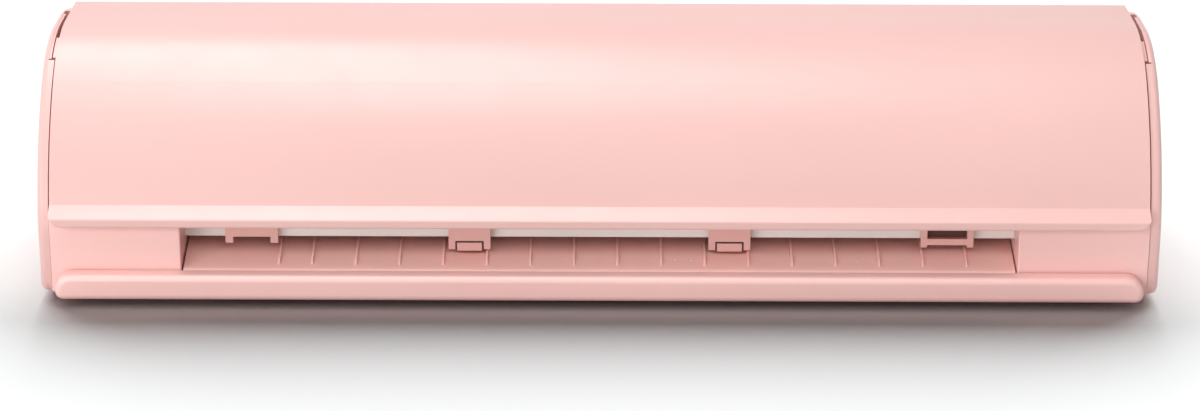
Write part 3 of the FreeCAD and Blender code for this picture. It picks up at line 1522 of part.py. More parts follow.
def make_tools():
    """Two tool holders, each with a collar that rests on the carriage, and the slide that locks it."""
    for sign, side in (("-", "left"), ("+", "right")):
        x = f"carriage_park {sign} tool_half"
        centre = (x, "cut_line")
        label = f"{side}_tool_holder"
        barrel_base = "carriage_base - tool_radius / 2"
        rest = "carriage_top + tool_rise"
        barrel = rod(label + "_barrel", "z", centre, (barrel_base, rest), "tool_radius")
        taper_radii = ("tool_tip_radius", "tool_radius - slide_gap")
        taper = cone(label + "_taper", "z", centre, ("tool_tip", barrel_base), taper_radii)
        collar_top = f"{rest} + tool_collar_height"
        collar = rod(label + "_collar", "z", centre, (rest, collar_top), "tool_collar")
        cap_span = (collar_top, f"{collar_top} + tool_cap")
        cap = cone(label + "_cap", "z", centre, cap_span, ("tool_collar", "tool_radius"))
        piece(join(label + "_solid", barrel, taper, collar, cap), label)
        blade_span = ("platen_top + strip_height + tool_lift", "tool_tip")
        blade_radii = ("slide_gap / 2", "tool_tip_radius / 2")
        blade = cone(f"{side}_blade_cone", "z", centre, blade_span, blade_radii)
        piece(blade, f"{side}_blade")
        lock_x = (f"{x} - lock_width / 2", f"{x} + lock_width / 2")
        lock_y = (f"{LOCK_BACK} - lock_length - slide_gap", f"{LOCK_BACK} - slide_gap")
        lock = box(f"{side}_lock_solid", lock_x, lock_y, (LOCK_BASE, f"{LOCK_BASE} + lock_height"))
        piece(lock, f"{side}_tool_lock")


# Electronics


def make_board():
    board = box("board", (BOARD_IN, BOARD_OUT), (BOARD_FRONT, BOARD_BACK), ("board_height", BOARD_TOP))
    chips = [
        box(
            f"board_chip_{i}",
            (f"{BOARD_IN} + {1 + 1.2 * i} * port_height", f"{BOARD_IN} + {1.8 + 1.2 * i} * port_height"),
            (f"{BOARD_FRONT} + port_height", f"{BOARD_FRONT} + {2 + i} * port_height"),
            (BOARD_TOP, f"{BOARD_TOP} + board_wall"),
        )
        for i in range(2)
    ]
    return piece(join("board_solid", board, *chips), "main_board")


def make_ports():
    """The power inlet and the data port: blocks on the board whose sockets open in the rear cover."""
    face = f"cap_flat_back + {COVER_RADIUS} - slide_gap"
    z = (BOARD_TOP, f"{BOARD_TOP} + port_height")
    middle = f"{BOARD_TOP} + port_height / 2"
    for label, x in PORTS.items():
        block = box(label + "_block", x, (f"{face} - 1.5 * port_height", face), z)
        centre = f"({x[0]} + {x[1]}) / 2"
        depth = (f"{face} - port_height", f"{face} + slide_gap")
        if label == "power_inlet":
            well = rod(label + "_well", "y", (centre, middle), depth, "port_height / 3")
        else:
            reach = "port_height / 3"
            well = box(
                label + "_well",
                (f"{centre} - {reach}", f"{centre} + {reach}"),
                depth,
                (f"{middle} - {reach}", f"{middle} + {reach}"),
            )
        piece(cut(label + "_solid", block, well), label)


def build():
    fill_sheet()
    make_lid()
    make_end_cap(-1, "left_end_cap")
    make_end_cap(1, "right_end_cap")
    make_hinge_pins()
    make_rear_cover()
    make_base_pan()
    make_feet()
    make_screws()
    make_front_panel(-1, "left_front_panel")
    make_front_panel(1, "right_front_panel")
    make_deck_cover(-1, "left_deck_cover")
    make_deck_cover(1, "right_deck_cover", BUTTONS)
    make_buttons()
    make_switch_board()
    make_platen()
    make_cutting_strip()
    make_tray()
    make_tray_front()
    make_side_frame(-1, "left_side_frame")
    make_side_frame(1, "right_side_frame")
    make_bushes()
    make_feed_shaft()
    make_grit_rollers()
    make_gears()
    make_feed_motor()
    make_pinion_shaft()
    make_feed_motor_bracket()
    make_roller_bar()
    make_pivot_rod()
    make_pinch_arm("left", PINCH_X["left"], "outer_pinch_width", lugged_front)
    make_pinch_arm("left_middle", PINCH_X["left_middle"], "inner_pinch_width", tabbed_front)
    make_pinch_arm("right_middle", PINCH_X["right_middle"], "inner_pinch_width", tabbed_front)
    make_pinch_arm("right", PINCH_X["right"], "outer_pinch_width", framed_front)
    make_pinch_rollers()
    make_rail()
    make_belt()
    make_pulley("drive_pulley", "pulley_half", "motor_shaft + fit_gap")
    make_pulley("idler_pulley", "-pulley_half", "motor_shaft + running_gap")
    pulley_plate("motor_plate", 1, "motor_boss + fit_gap")
    pulley_plate("idler_plate", -1, "motor_shaft + fit_gap")
    make_carriage_motor()
    make_pulley_shafts()
    make_carriage()
    make_tools()
    make_board()
    make_ports()
    doc.recompute()


def check_and_write():
    faults = [o.Label for o in doc.Objects if "Invalid" in o.State or "Error" in o.State]
    faults += [o.Label for o in pieces if o.Shape.isNull() or not o.Shape.isValid() or not o.Shape.Solids]
    if faults:
        raise RuntimeError("these did not build: " + ", ".join(faults))
    os.makedirs("parts", exist_ok=True)
    for obj in pieces:
        obj.Shape.exportStep(f"parts/{obj.Label}.step")
    print(f"{len(pieces)} sub-parts written")


build()
check_and_write()
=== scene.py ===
import json
import math

import bmesh
import bpy
from mathutils import Matrix, Vector
from mathutils.bvhtree import BVHTree


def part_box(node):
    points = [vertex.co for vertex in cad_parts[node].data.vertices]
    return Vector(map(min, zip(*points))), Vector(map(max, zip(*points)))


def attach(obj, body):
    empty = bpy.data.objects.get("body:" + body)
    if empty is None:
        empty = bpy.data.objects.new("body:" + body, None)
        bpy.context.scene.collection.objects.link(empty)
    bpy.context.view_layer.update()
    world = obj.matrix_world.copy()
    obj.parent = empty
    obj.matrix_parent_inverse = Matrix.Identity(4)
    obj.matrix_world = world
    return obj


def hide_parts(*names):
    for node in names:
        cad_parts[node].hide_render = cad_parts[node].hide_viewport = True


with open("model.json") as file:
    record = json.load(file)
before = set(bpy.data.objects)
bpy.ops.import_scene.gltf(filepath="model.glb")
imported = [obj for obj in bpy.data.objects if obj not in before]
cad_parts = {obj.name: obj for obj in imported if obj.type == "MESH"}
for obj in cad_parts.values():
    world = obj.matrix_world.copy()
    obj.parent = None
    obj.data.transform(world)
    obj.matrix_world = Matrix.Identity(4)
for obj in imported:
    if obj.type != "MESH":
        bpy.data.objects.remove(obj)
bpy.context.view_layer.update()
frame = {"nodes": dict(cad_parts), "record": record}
nodes = frame["nodes"]
MM = 0.001


def linear(red, green, blue):
    """A colour picked in screen values from 0 to 255, as linear light with alpha."""
    def channel(value):
        value /= 255
        return value / 12.92 if value <= 0.04045 else ((value + 0.055) / 1.055) ** 2.4

    return (channel(red), channel(green), channel(blue), 1.0)


def shaded(colour, factor):
    return tuple(min(part * factor, 1.0) for part in colour[:3]) + (1.0,)


# Materials

# The middle range that a noise's values mostly lie in
NOISE_LOW = 0.3
NOISE_HIGH = 0.7


class Paint:
    """A material's node tree with short ways to add and link its nodes."""

    def __init__(self, name):
        self.material = bpy.data.materials.new(name)
        self.material.use_nodes = True
        self.tree = self.material.node_tree
        self.shader = self.tree.nodes["Principled BSDF"]
        self.place = self.add("ShaderNodeTexCoord").outputs["Object"]

    def add(self, kind, **settings):
        node = self.tree.nodes.new(kind)
        for name, value in settings.items():
            setattr(node, name, value)
        return node

    def link(self, source, target):
        self.tree.links.new(source, target)

    def stretch(self, scale):
        """The object's coordinates scaled differently on each axis."""
        node = self.add("ShaderNodeMapping")
        node.inputs["Scale"].default_value = scale
        self.link(self.place, node.inputs["Vector"])
        return node.outputs["Vector"]

    def noise(self, scale, detail=3.0, place=None, roughness=0.5):
        node = self.add("ShaderNodeTexNoise")
        node.inputs["Scale"].default_value = scale
        node.inputs["Detail"].default_value = detail
        node.inputs["Roughness"].default_value = roughness
        self.link(place or self.place, node.inputs["Vector"])
        return node.outputs["Fac"]

    def ramp(self, factor, low, high, low_colour, high_colour):
        """Blends two colours as a factor climbs from low to high."""
        node = self.add("ShaderNodeValToRGB")
        first, last = node.color_ramp.elements
        first.position, first.color = low, low_colour
        last.position, last.color = high, high_colour
        self.link(factor, node.inputs["Fac"])
        return node.outputs["Color"]

    def remap(self, factor, low, high):
        """A factor's middle range spread between two values."""
        node = self.add("ShaderNodeMapRange")
        node.inputs["From Min"].default_value = NOISE_LOW
        node.inputs["From Max"].default_value = NOISE_HIGH
        node.inputs["To Min"].default_value = low
        node.inputs["To Max"].default_value = high
        self.link(factor, node.inputs["Value"])
        return node.outputs["Result"]

    def bump(self, height, strength, distance):
        node = self.add("ShaderNodeBump")
        node.inputs["Strength"].default_value = strength
        node.inputs["Distance"].default_value = distance
        self.link(height, node.inputs["Height"])
        self.link(node.outputs["Normal"], self.shader.inputs["Normal"])

    def colour(self, tint):
        self.link(tint, self.shader.inputs["Base Color"])

    def gloss(self, factor, roughness, spread):
        """Lets the roughness wander a little below and above its value."""
        wander = self.remap(factor, roughness + spread[0], roughness + spread[1])
        self.link(wander, self.shader.inputs["Roughness"])

    def set(self, **values):
        for name, value in values.items():
            self.shader.inputs[name.replace("_", " ")].default_value = value


FLOW_SCALE = 9.0
FLOW_STRETCH = (0.5, 1.0, 1.0)
FLOW_TINT = 0.03
GLOSS_SCALE = 60.0
GLOSS_SPREAD = (-0.03, 0.04)
GRAIN_BUMP = 0.25


def plastic(name, colour, roughness, grain, grain_depth):
    """Moulded plastic: faint flow marks in its colour, a fine spark-eroded grain and uneven gloss."""
    paint = Paint(name)
    flow = paint.noise(FLOW_SCALE, detail=2.0, place=paint.stretch(FLOW_STRETCH))
    darker = shaded(colour, 1 - FLOW_TINT)
    lighter = shaded(colour, 1 + FLOW_TINT)
    paint.colour(paint.ramp(flow, NOISE_LOW, NOISE_HIGH, darker, lighter))
    paint.gloss(paint.noise(GLOSS_SCALE, detail=4.0), roughness, GLOSS_SPREAD)
    paint.bump(paint.noise(grain, detail=2.0), GRAIN_BUMP, grain_depth)
    return paint.material


BRUSH_RANGE = (0.25, 0.75)
BRUSH_TINT = (0.86, 1.1)
BRUSH_SPREAD = (-0.06, 0.1)
BRUSH_BUMP = 0.3
BRUSH_DEPTH = 0.00002


def metal(name, colour, roughness, brush):
    """Metal with fine drawn lines along one axis."""
    paint = Paint(name)
    lines = paint.noise(1.0, detail=5.0, place=paint.stretch(brush))
    darker, lighter = [shaded(colour, factor) for factor in BRUSH_TINT]
    paint.colour(paint.ramp(lines, *BRUSH_RANGE, darker, lighter))
    paint.gloss(lines, roughness, BRUSH_SPREAD)
    paint.bump(lines, BRUSH_BUMP, BRUSH_DEPTH)
    paint.set(Metallic=1.0)
    return paint.material


PEEL_SCALE = 700.0
PEEL_SPREAD = (-0.05, 0.06)
PEEL_BUMP = 0.2
PEEL_DEPTH = 0.0001
STAIN_SCALE = 14.0
STAIN_TINT = (0.96, 1.03)


def coated(name, colour, roughness):
    """Powder-coated sheet: a soft orange-peel skin."""
    paint = Paint(name)
    peel = paint.noise(PEEL_SCALE, detail=2.0)
    stain = paint.noise(STAIN_SCALE, detail=3.0)
    darker, lighter = [shaded(colour, factor) for factor in STAIN_TINT]
    paint.colour(paint.ramp(stain, NOISE_LOW, NOISE_HIGH, darker, lighter))
    paint.gloss(peel, roughness, PEEL_SPREAD)
    paint.bump(peel, PEEL_BUMP, PEEL_DEPTH)
    return paint.material


DUST_SCALE = 220.0
DUST_COARSENESS = 0.65
DUST_RANGE = (0.3, 0.75)
DUST_TINT = (0.8, 1.5)
DUST_SPREAD = (-0.1, 0.1)
DUST_BUMP = 0.4
DUST_DEPTH = 0.00015
RUBBER_ROUGHNESS = 0.75


def rubber(name, colour):
    """Rubber with a dusty, slightly uneven face."""
    paint = Paint(name)
    dust = paint.noise(DUST_SCALE, detail=5.0, roughness=DUST_COARSENESS)
    darker, lighter = [shaded(colour, factor) for factor in DUST_TINT]
    paint.colour(paint.ramp(dust, *DUST_RANGE, darker, lighter))
    paint.gloss(dust, RUBBER_ROUGHNESS, DUST_SPREAD)
    paint.bump(dust, DUST_BUMP, DUST_DEPTH)
    return paint.material


SPECK_SCALE = 900.0
SPECK_RANGE = (0.1, 0.6)
SPECK_TINT = (1.5, 0.6)
SPECK_BUMP = 0.8
SPECK_DEPTH = 0.0003


def knurled(name, colour):
    """A grit-blasted drive roller: hard bright specks on grey steel."""
    paint = Paint(name)
    specks = paint.add("ShaderNodeTexVoronoi")
    specks.inputs["Scale"].default_value = SPECK_SCALE
    paint.link(paint.place, specks.inputs["Vector"])
    spread = specks.outputs["Distance"]
    bright, dull = [shaded(colour, factor) for factor in SPECK_TINT]
    paint.colour(paint.ramp(spread, *SPECK_RANGE, bright, dull))
    paint.bump(spread, SPECK_BUMP, SPECK_DEPTH)
    paint.set(Metallic=0.8, Roughness=0.5)
    return paint.material


TRACK_SCALE = 160.0
TRACK_WIDTH = 0.03
TRACK_TINT = 1.9
MASK_TINT = (0.9, 1.1)
TRACK_BUMP = 0.2
TRACK_DEPTH = 0.00005


def circuit(name, colour):
    """A solder-masked board: thin copper tracks under a green mask."""
    paint = Paint(name)
    tracks = paint.add("ShaderNodeTexBrick")
    tracks.inputs["Scale"].default_value = TRACK_SCALE
    tracks.inputs["Mortar Size"].default_value = TRACK_WIDTH
    tracks.inputs["Color1"].default_value = shaded(colour, MASK_TINT[0])
    tracks.inputs["Color2"].default_value = shaded(colour, MASK_TINT[1])
    tracks.inputs["Mortar"].default_value = shaded(colour, TRACK_TINT)
    paint.link(paint.place, tracks.inputs["Vector"])
    paint.colour(tracks.outputs["Color"])
    paint.bump(tracks.outputs["Fac"], TRACK_BUMP, TRACK_DEPTH)
    paint.set(Roughness=0.35)
    return paint.material


PINK = linear(247, 199, 193)
PINK_INNER = linear(240, 190, 181)
SLOT_PAINT = {
    "pink_shell": plastic("pink_shell", PINK, 0.33, 1400.0, 0.00006),
    "pink_inner": plastic("pink_inner", PINK_INNER, 0.5, 1100.0, 0.0001),
    "pale_paint": coated("pale_paint", linear(246, 243, 239), 0.42),
    "steel": metal("steel", linear(196, 196, 198), 0.28, (40.0, 900.0, 900.0)),
    "zinc": metal("zinc", linear(178, 180, 184), 0.42, (300.0, 60.0, 300.0)),
    "rail_metal": metal("rail_metal", linear(206, 208, 211), 0.34, (20.0, 700.0, 700.0)),
    "black_rubber": rubber("black_rubber", linear(38, 38, 40)),
    "grey_rubber": rubber("grey_rubber", linear(104, 104, 106)),
    "motor_black": coated("motor_black", linear(44, 45, 48), 0.4),
    "green_board": circuit("green_board", linear(24, 98, 62)),
    "white_plastic": plastic("white_plastic", linear(236, 233, 229), 0.4, 1200.0, 0.00006),
    "black_plastic": plastic("black_plastic", linear(34, 34, 36), 0.5, 900.0, 0.0001),
    "brass": metal("brass", linear(200, 164, 96), 0.3, (900.0, 60.0, 60.0)),
    "grit": knurled("grit", linear(120, 118, 115)),
}
# Painted shade: a dark brownish pink that stands in for the shade inside the arms' window and round their
# latches.
PAINTED_SHADE = plastic("painted_shade_plastic", linear(84, 44, 38), 0.6, 900.0, 0.0001)

for part in frame["record"]["subparts"]:
    piece = nodes[part["node"]]
    piece.data.materials.clear()
    piece.data.materials.append(SLOT_PAINT[part["material_slot"]])


# Detail pieces, drawn in millimetres in the machine's frame

SHARP_ANGLE = 35.0
# The across, up and out axes of a face that looks up, down or to the front
UPWARD = ((1, 0, 0), (0, 1, 0), (0, 0, 1))
DOWNWARD = ((1, 0, 0), (0, -1, 0), (0, 0, -1))
FORWARD = ((1, 0, 0), (0, 0, 1), (0, -1, 0))
# A ray that looks for the feed ramp's top starts at this height
RAY_HEIGHT = 60.0
DOWN = Vector((0.0, 0.0, -1.0))
# How deep a piece is sunk into the face that it stands on
SINK = 0.1
TINY = 1e-6


class Shape:
    """Points and faces of one piece, gathered from lofts."""

    def __init__(self):
        self.points = []
        self.faces = []

    def loft(self, loops, capped=True, closed=False):
        """Skins loops with equal point counts, one after the other."""
        start = len(self.points)
        count = len(loops[0])
        for loop in loops:
            self.points.extend(loop)
        spans = len(loops) if closed else len(loops) - 1
        for i in range(spans):
            low = start + i * count
            high = start + (i + 1) % len(loops) * count
            for j in range(count):
                k = (j + 1) % count
                self.faces.append((low + j, low + k, high + k, high + j))
        if capped and not closed:
            last = start + (len(loops) - 1) * count
            self.faces.append(tuple(reversed(range(start, start + count))))
            self.faces.append(tuple(range(last, last + count)))

    def stack(self, layers, origin, axes, capped=True, closed=False):
        """Lofts flat outlines at their heights on a face given by its origin and its three axes."""
        across, up, out = [Vector(axis) for axis in axes]
        base = Vector(origin)
        loops = []
        for outline, height in layers:
            loops.append([base + across * u + up * v + out * height for u, v in outline])
        self.loft(loops, capped, closed)

    def place(self, name, body, slot, paint=None):
        """Makes the piece, paints it from its slot or its own paint, and lets it ride on its body."""
        mesh = bpy.data.meshes.new(name)
        mesh.from_pydata([Vector(point) * MM for point in self.points], [], self.faces)
        helper = bmesh.new()
        helper.from_mesh(mesh)
        bmesh.ops.recalc_face_normals(helper, faces=helper.faces)
        helper.to_mesh(mesh)
        helper.free()
        mesh.shade_smooth()
        mesh.set_sharp_from_angle(angle=math.radians(SHARP_ANGLE))
        mesh.materials.append(paint or SLOT_PAINT[slot])
        piece = bpy.data.objects.new(name, mesh)
        bpy.context.scene.collection.objects.link(piece)
        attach(piece, body)
        return piece


def corners(node):
    """A node's lowest and highest corners in millimetres."""
    low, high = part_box(node)
    return low / MM, high / MM


def skin_of(node):
    """A node's faces in millimetres, ready for casting rays at."""
    data = nodes[node].data
    return BVHTree.FromPolygons([v.co / MM for v in data.vertices], [p.vertices for p in data.polygons])


def circle(radius, count=32, centre=(0.0, 0.0)):
    turn = 2 * math.pi / count
    return [
        (centre[0] + radius * math.cos(i * turn), centre[1] + radius * math.sin(i * turn))
        for i in range(count)
    ]


def rounded_rectangle(half_width, half_height, radius, centre=(0.0, 0.0), steps=5):
    points = []
    for quarter in range(4):
        side = 1 if quarter in (0, 3) else -1
        level = 1 if quarter in (0, 1) else -1
        for i in range(steps):
            angle = math.pi / 2 * (quarter + i / (steps - 1))
            u = side * (half_width - radius) + radius * math.cos(angle)
            v = level * (half_height - radius) + radius * math.sin(angle)
            points.append((centre[0] + u, centre[1] + v))
    return points


def cross_outline(length, width, count):
    """A driver's cross seen from above, point by point around its middle."""
    points = []
    for i in range(count):
        angle = 2 * math.pi * i / count
        across = max(abs(math.cos(angle)), TINY)
        up = max(abs(math.sin(angle)), TINY)
        reach = max(min(length / across, width / up), min(width / across, length / up))
        points.append((reach * math.cos(angle), reach * math.sin(angle)))
    return points


def moved(outline, centre):
    return [(u + centre[0], v + centre[1]) for u, v in outline]


# Shares of a screw head's radius
SCREW_SIDE = 0.45
SCREW_CROWN = 0.82
SCREW_TOP = 0.75
SCREW_CROSS = (0.6, 0.17)
SCREW_CROSS_TOP = 0.78
SCREW_CROSS_FOOT = (0.5, 0.13)
SCREW_CROSS_FLOOR = 0.25
SCREW_POINTS = 48


def add_screw(shape, origin, axes, radius):
    """A pan head with a cross recess."""
    mouth = cross_outline(*[share * radius for share in SCREW_CROSS], SCREW_POINTS)
    foot = cross_outline(*[share * radius for share in SCREW_CROSS_FOOT], SCREW_POINTS)
    shape.stack(
        [
            (circle(radius, SCREW_POINTS), -SINK),
            (circle(radius, SCREW_POINTS), SCREW_SIDE * radius),
            (circle(SCREW_CROWN * radius, SCREW_POINTS), SCREW_TOP * radius),
            (mouth, SCREW_CROSS_TOP * radius),
            (foot, SCREW_CROSS_FLOOR * radius),
        ],
        origin,
        axes,
    )


def add_plate(shape, origin, axes, half_width, half_height, radius, height, edge):
    """A flat plate with rounded corners and a bevelled edge."""
    shape.stack(
        [
            (rounded_rectangle(half_width, half_height, radius), -SINK),
            (rounded_rectangle(half_width, half_height, radius), height - edge),
            (rounded_rectangle(half_width - edge, half_height - edge, radius - edge / 2), height),
        ],
        origin,
        axes,
    )


BELT_PITCH = 2.0
BELT_WALL = 1.15
BELT_BACK = 0.6
BELT_STEPS = 4
BELT_TOOTH = (1, 2)


def toothed_belt():
    """The carriage's drive belt, with a moulded tooth every pitch on its inner face."""
    low, high = corners("timing_belt")
    middle = (low + high) / 2
    outer = (high.z - low.z) / 2
    straight = high.x - low.x - 2 * outer
    length = 2 * straight + 2 * math.pi * outer
    teeth = round(length / BELT_PITCH)
    shape = Shape()
    loops = []
    for i in range(BELT_STEPS * teeth):
        along = length * (i + 0.5) / (BELT_STEPS * teeth)
        depth = BELT_WALL if i % BELT_STEPS in BELT_TOOTH else BELT_BACK
        loops.append([])
        for offset, y in ((0.0, low.y), (0.0, high.y), (depth, high.y), (depth, low.y)):
            u, v = belt_point(along, straight, outer, outer - offset)
            loops[-1].append((middle.x + u, y, middle.z + v))
    shape.loft(loops, closed=True)
    belt = shape.place("toothed_belt", "case", "black_rubber")
    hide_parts("timing_belt")


def belt_point(along, straight, outer, radius):
    """A point beside the belt's path: over the top, round one pulley, back below and round the other."""
    bend = math.pi * outer
    if along < straight:
        return along - straight / 2, radius
    along -= straight
    if along < bend:
        angle = math.pi / 2 - along / outer
        return straight / 2 + radius * math.cos(angle), radius * math.sin(angle)
    along -= bend
    if along < straight:
        return straight / 2 - along, -radius
    angle = -math.pi / 2 - (along - straight) / outer
    return -straight / 2 + radius * math.cos(angle), radius * math.sin(angle)


GRIP_RIBS = 24
GRIP_STEPS = 8
GRIP_RISE = 0.5
GRIP_DROP = 6.2
GRIP_HEIGHT = 4.2
GRIP_BEVEL = 0.5


def tool_grips():
    """A ribbed sleeve round each tool holder's collar, for turning it by hand."""
    for side in ("left", "right"):
        low, high = corners(f"{side}_tool_holder")
        radius = (high.x - low.x) / 2
        centre = ((low.x + high.x) / 2, (low.y + high.y) / 2)
        base = high.z - GRIP_DROP
        ribbed = [grip_point(radius, i) for i in range(GRIP_RIBS * GRIP_STEPS)]
        plain = circle(radius - 2 * SINK, GRIP_RIBS * GRIP_STEPS)
        shape = Shape()
        shape.stack(
            [
                (plain, 0.0),
                (circle(radius, GRIP_RIBS * GRIP_STEPS), 0.0),
                (ribbed, GRIP_BEVEL),
                (ribbed, GRIP_HEIGHT - GRIP_BEVEL),
                (circle(radius, GRIP_RIBS * GRIP_STEPS), GRIP_HEIGHT),
                (plain, GRIP_HEIGHT),
            ],
            (centre[0], centre[1], base),
            UPWARD,
            closed=True,
        )
        shape.place(f"{side}_tool_grip", f"{side}_tool", "black_plastic")


def grip_point(radius, i):
    angle = 2 * math.pi * i / (GRIP_RIBS * GRIP_STEPS)
    reach = radius + GRIP_RISE * (0.5 + 0.5 * math.cos(GRIP_RIBS * angle))
    return reach * math.cos(angle), reach * math.sin(angle)


ICON = 2.4
STROKE = 0.7
ICON_RISE = 0.25
SIGN_SHARE = 0.8
BAR_SHARE = 0.4
BAR_LIFT = 0.75
FLAT_DROP = 0.6
RING_GAP = 32.0
RING_STEPS = 28


def key_signs():
    """Raised signs on the three keys: a broken ring with a bar, an arrow over a bar, and two bars."""
    ring = [(ICON * math.cos(angle), ICON * math.sin(angle)) for angle in ring_angles()]
    inner = [((ICON - STROKE) * math.cos(a), (ICON - STROKE) * math.sin(a)) for a in reversed(ring_angles())]
    bar = rounded_rectangle(STROKE / 2, BAR_SHARE * ICON, STROKE / 4)
    arrow = [(-SIGN_SHARE * ICON, 0.0), (SIGN_SHARE * ICON, 0.0), (0.0, ICON)]
    flat = rounded_rectangle(SIGN_SHARE * ICON, STROKE / 2, STROKE / 4)
    tall = rounded_rectangle(STROKE / 2, SIGN_SHARE * ICON, STROKE / 4)
    signs = {
        "power": [ring + inner, moved(bar, (0.0, BAR_LIFT * ICON))],
        "load": [arrow, moved(flat, (0.0, -FLAT_DROP * ICON))],
        "pause": [moved(tall, (-STROKE, 0.0)), moved(tall, (STROKE, 0.0))],
    }
    for key, outlines in signs.items():
        low, high = corners(f"{key}_button")
        shape = Shape()
        for outline in outlines:
            origin = ((low.x + high.x) / 2, (low.y + high.y) / 2, high.z)
            shape.stack([(outline, -SINK), (outline, ICON_RISE)], origin, UPWARD)
        shape.place(f"{key}_sign", f"{key}_key", "pale_paint")


def ring_angles():
    """The broken ring's angles, from one side of its gap at the top round to the other."""
    first = math.radians(90 + RING_GAP)
    last = math.radians(90 + 360 - RING_GAP)
    return [first + (last - first) * i / RING_STEPS for i in range(RING_STEPS + 1)]


FACE_MARGIN = 2.0
FACE_CORNER = 2.5
FACE_WALL = 1.2
FACE_EDGE = 0.4
FACE_BARS = 4
FACE_BAR_PITCH = 2.6
FACE_BAR_SHARE = 0.5
FACE_BAR_HALF = 0.6
FACE_BAR_CORNER = 0.5
FACE_BAR_WALL = 0.7
FACE_BAR_EDGE = 0.3
FACE_SCREW = 1.6
FACE_SCREW_IN = 3.6


def carriage_face():
    """The carriage's front cover: a bevelled plate with grip bars and a screw at each corner."""
    low, high = corners("carriage_body")
    lock_low = corners("left_tool_lock")[0]
    half_width = (high.x - low.x) / 2 - FACE_MARGIN
    top = lock_low.z - FACE_MARGIN
    bottom = low.z + FACE_MARGIN
    origin = Vector(((low.x + high.x) / 2, low.y, (top + bottom) / 2))
    half_height = (top - bottom) / 2
    plate = Shape()
    add_plate(plate, origin, FORWARD, half_width, half_height, FACE_CORNER, FACE_WALL, FACE_EDGE)
    for i in range(FACE_BARS):
        level = (i - (FACE_BARS - 1) / 2) * FACE_BAR_PITCH
        bar = Vector((0.0, -FACE_WALL, level))
        reach = FACE_BAR_SHARE * half_width
        sizes = (reach, FACE_BAR_HALF, FACE_BAR_CORNER, FACE_BAR_WALL, FACE_BAR_EDGE)
        add_plate(plate, origin + bar, FORWARD, *sizes)
    plate.place("carriage_face", "carriage", "white_plastic")
    screws = Shape()
    reach = half_width - FACE_SCREW_IN
    rise = half_height - FACE_SCREW_IN
    for side in (-1, 1):
        for level in (-1, 1):
            corner = Vector((side * reach, -FACE_WALL, level * rise))
            add_screw(screws, origin + corner, FORWARD, FACE_SCREW)
    screws.place("carriage_face_screws", "carriage", "zinc")


SPRING_WIRE = 0.4
SPRING_GAP = 0.8
SPRING_LENGTH = 8.0
SPRING_TURNS = 6
SPRING_STEPS = 20
SPRING_SIDES = 8


def arm_springs():
    """A wound spring on the pivot rod beside each pinch arm."""
    low, high = corners("pinch_pivot_rod")
    centre = (low + high) / 2
    coil = (high.z - low.z) / 2 + 2 * SPRING_WIRE
    for label in ("left", "left_middle", "right_middle", "right"):
        arm_low, arm_high = corners(f"{label}_pinch_arm")
        start = arm_high.x + SPRING_GAP if arm_low.x < 0 else arm_low.x - SPRING_GAP - SPRING_LENGTH
        loops = []
        for i in range(SPRING_TURNS * SPRING_STEPS + 1):
            angle = 2 * math.pi * i / SPRING_STEPS
            out = Vector((0.0, math.cos(angle), math.sin(angle)))
            along = start + SPRING_LENGTH * i / (SPRING_TURNS * SPRING_STEPS)
            middle = Vector((along, centre.y, centre.z)) + coil * out
            wire = circle(SPRING_WIRE, SPRING_SIDES)
            loops.append([middle + out * u + Vector((v, 0.0, 0.0)) for u, v in wire])
        shape = Shape()
        shape.loft(loops)
        shape.place(f"{label}_arm_spring", "case", "steel")


CAN_COUNT = 3
CAN_IN = 6.0
CAN_PITCH = 10.0
CAN_RADIUS = 4.0
# Shares of the can's radius and the heights that they stand at
CAN_STEPS = ((0.95, -SINK), (1.0, 0.4), (1.0, 1.4), (0.93, 1.8), (1.0, 2.2), (1.0, 8.6), (0.93, 9.0))
CAN_VENT = (0.7, 0.08)
CAN_VENT_LEVELS = (9.0, 8.8)
CAN_POINTS = 32
HEADER_COUNT = 2
HEADER_IN = 6.5
HEADER_PITCH = 12.0
# Half width, half length and corner radius
HEADER_OUTER = (3.0, 5.0, 0.5)
HEADER_INNER = (2.2, 4.2, 0.3)
HEADER_HEIGHT = 6.0
HEADER_FLOOR = 1.0
PIN_COUNT = 4
PIN_PITCH = 2.0
PIN_HALF = 0.3
PIN_CORNER = 0.1
PIN_FOOT = 0.9
PIN_NECK = 4.4
PIN_TOP = 5.0


def board_parts():
    """The main board's parts: capacitors, and plug headers with their pins."""
    low, high = corners("main_board")
    cans = Shape()
    for i in range(CAN_COUNT):
        origin = (low.x + CAN_IN, low.y + CAN_IN + i * CAN_PITCH, high.z)
        stacked = [(circle(CAN_RADIUS * share), height) for share, height in CAN_STEPS]
        vent = cross_outline(*[share * CAN_RADIUS for share in CAN_VENT], CAN_POINTS)
        cans.stack(stacked + [(vent, level) for level in CAN_VENT_LEVELS], origin, UPWARD)
    cans.place("board_cans", "case", "motor_black")
    headers = Shape()
    pins = Shape()
    for i in range(HEADER_COUNT):
        origin = (high.x - HEADER_IN, low.y + HEADER_IN + i * HEADER_PITCH, high.z)
        outer = rounded_rectangle(*HEADER_OUTER)
        inner = rounded_rectangle(*HEADER_INNER)
        walls = [(outer, -SINK), (outer, HEADER_HEIGHT), (inner, HEADER_HEIGHT), (inner, HEADER_FLOOR)]
        headers.stack(walls, origin, UPWARD)
        for j in range(PIN_COUNT):
            centre = (0.0, (j - (PIN_COUNT - 1) / 2) * PIN_PITCH)
            pin = rounded_rectangle(PIN_HALF, PIN_HALF, PIN_CORNER, centre)
            tip = rounded_rectangle(PIN_HALF / 2, PIN_HALF / 2, PIN_CORNER / 2, centre)
            pins.stack([(pin, PIN_FOOT), (pin, PIN_NECK), (tip, PIN_TOP)], origin, UPWARD)
    headers.place("board_headers", "case", "white_plastic")
    pins.place("board_pins", "case", "brass")


PLATE_HALF = 28.0
PLATE_CORNER = 2.5
PLATE_WALL = 0.3
PLATE_EDGE = 0.15


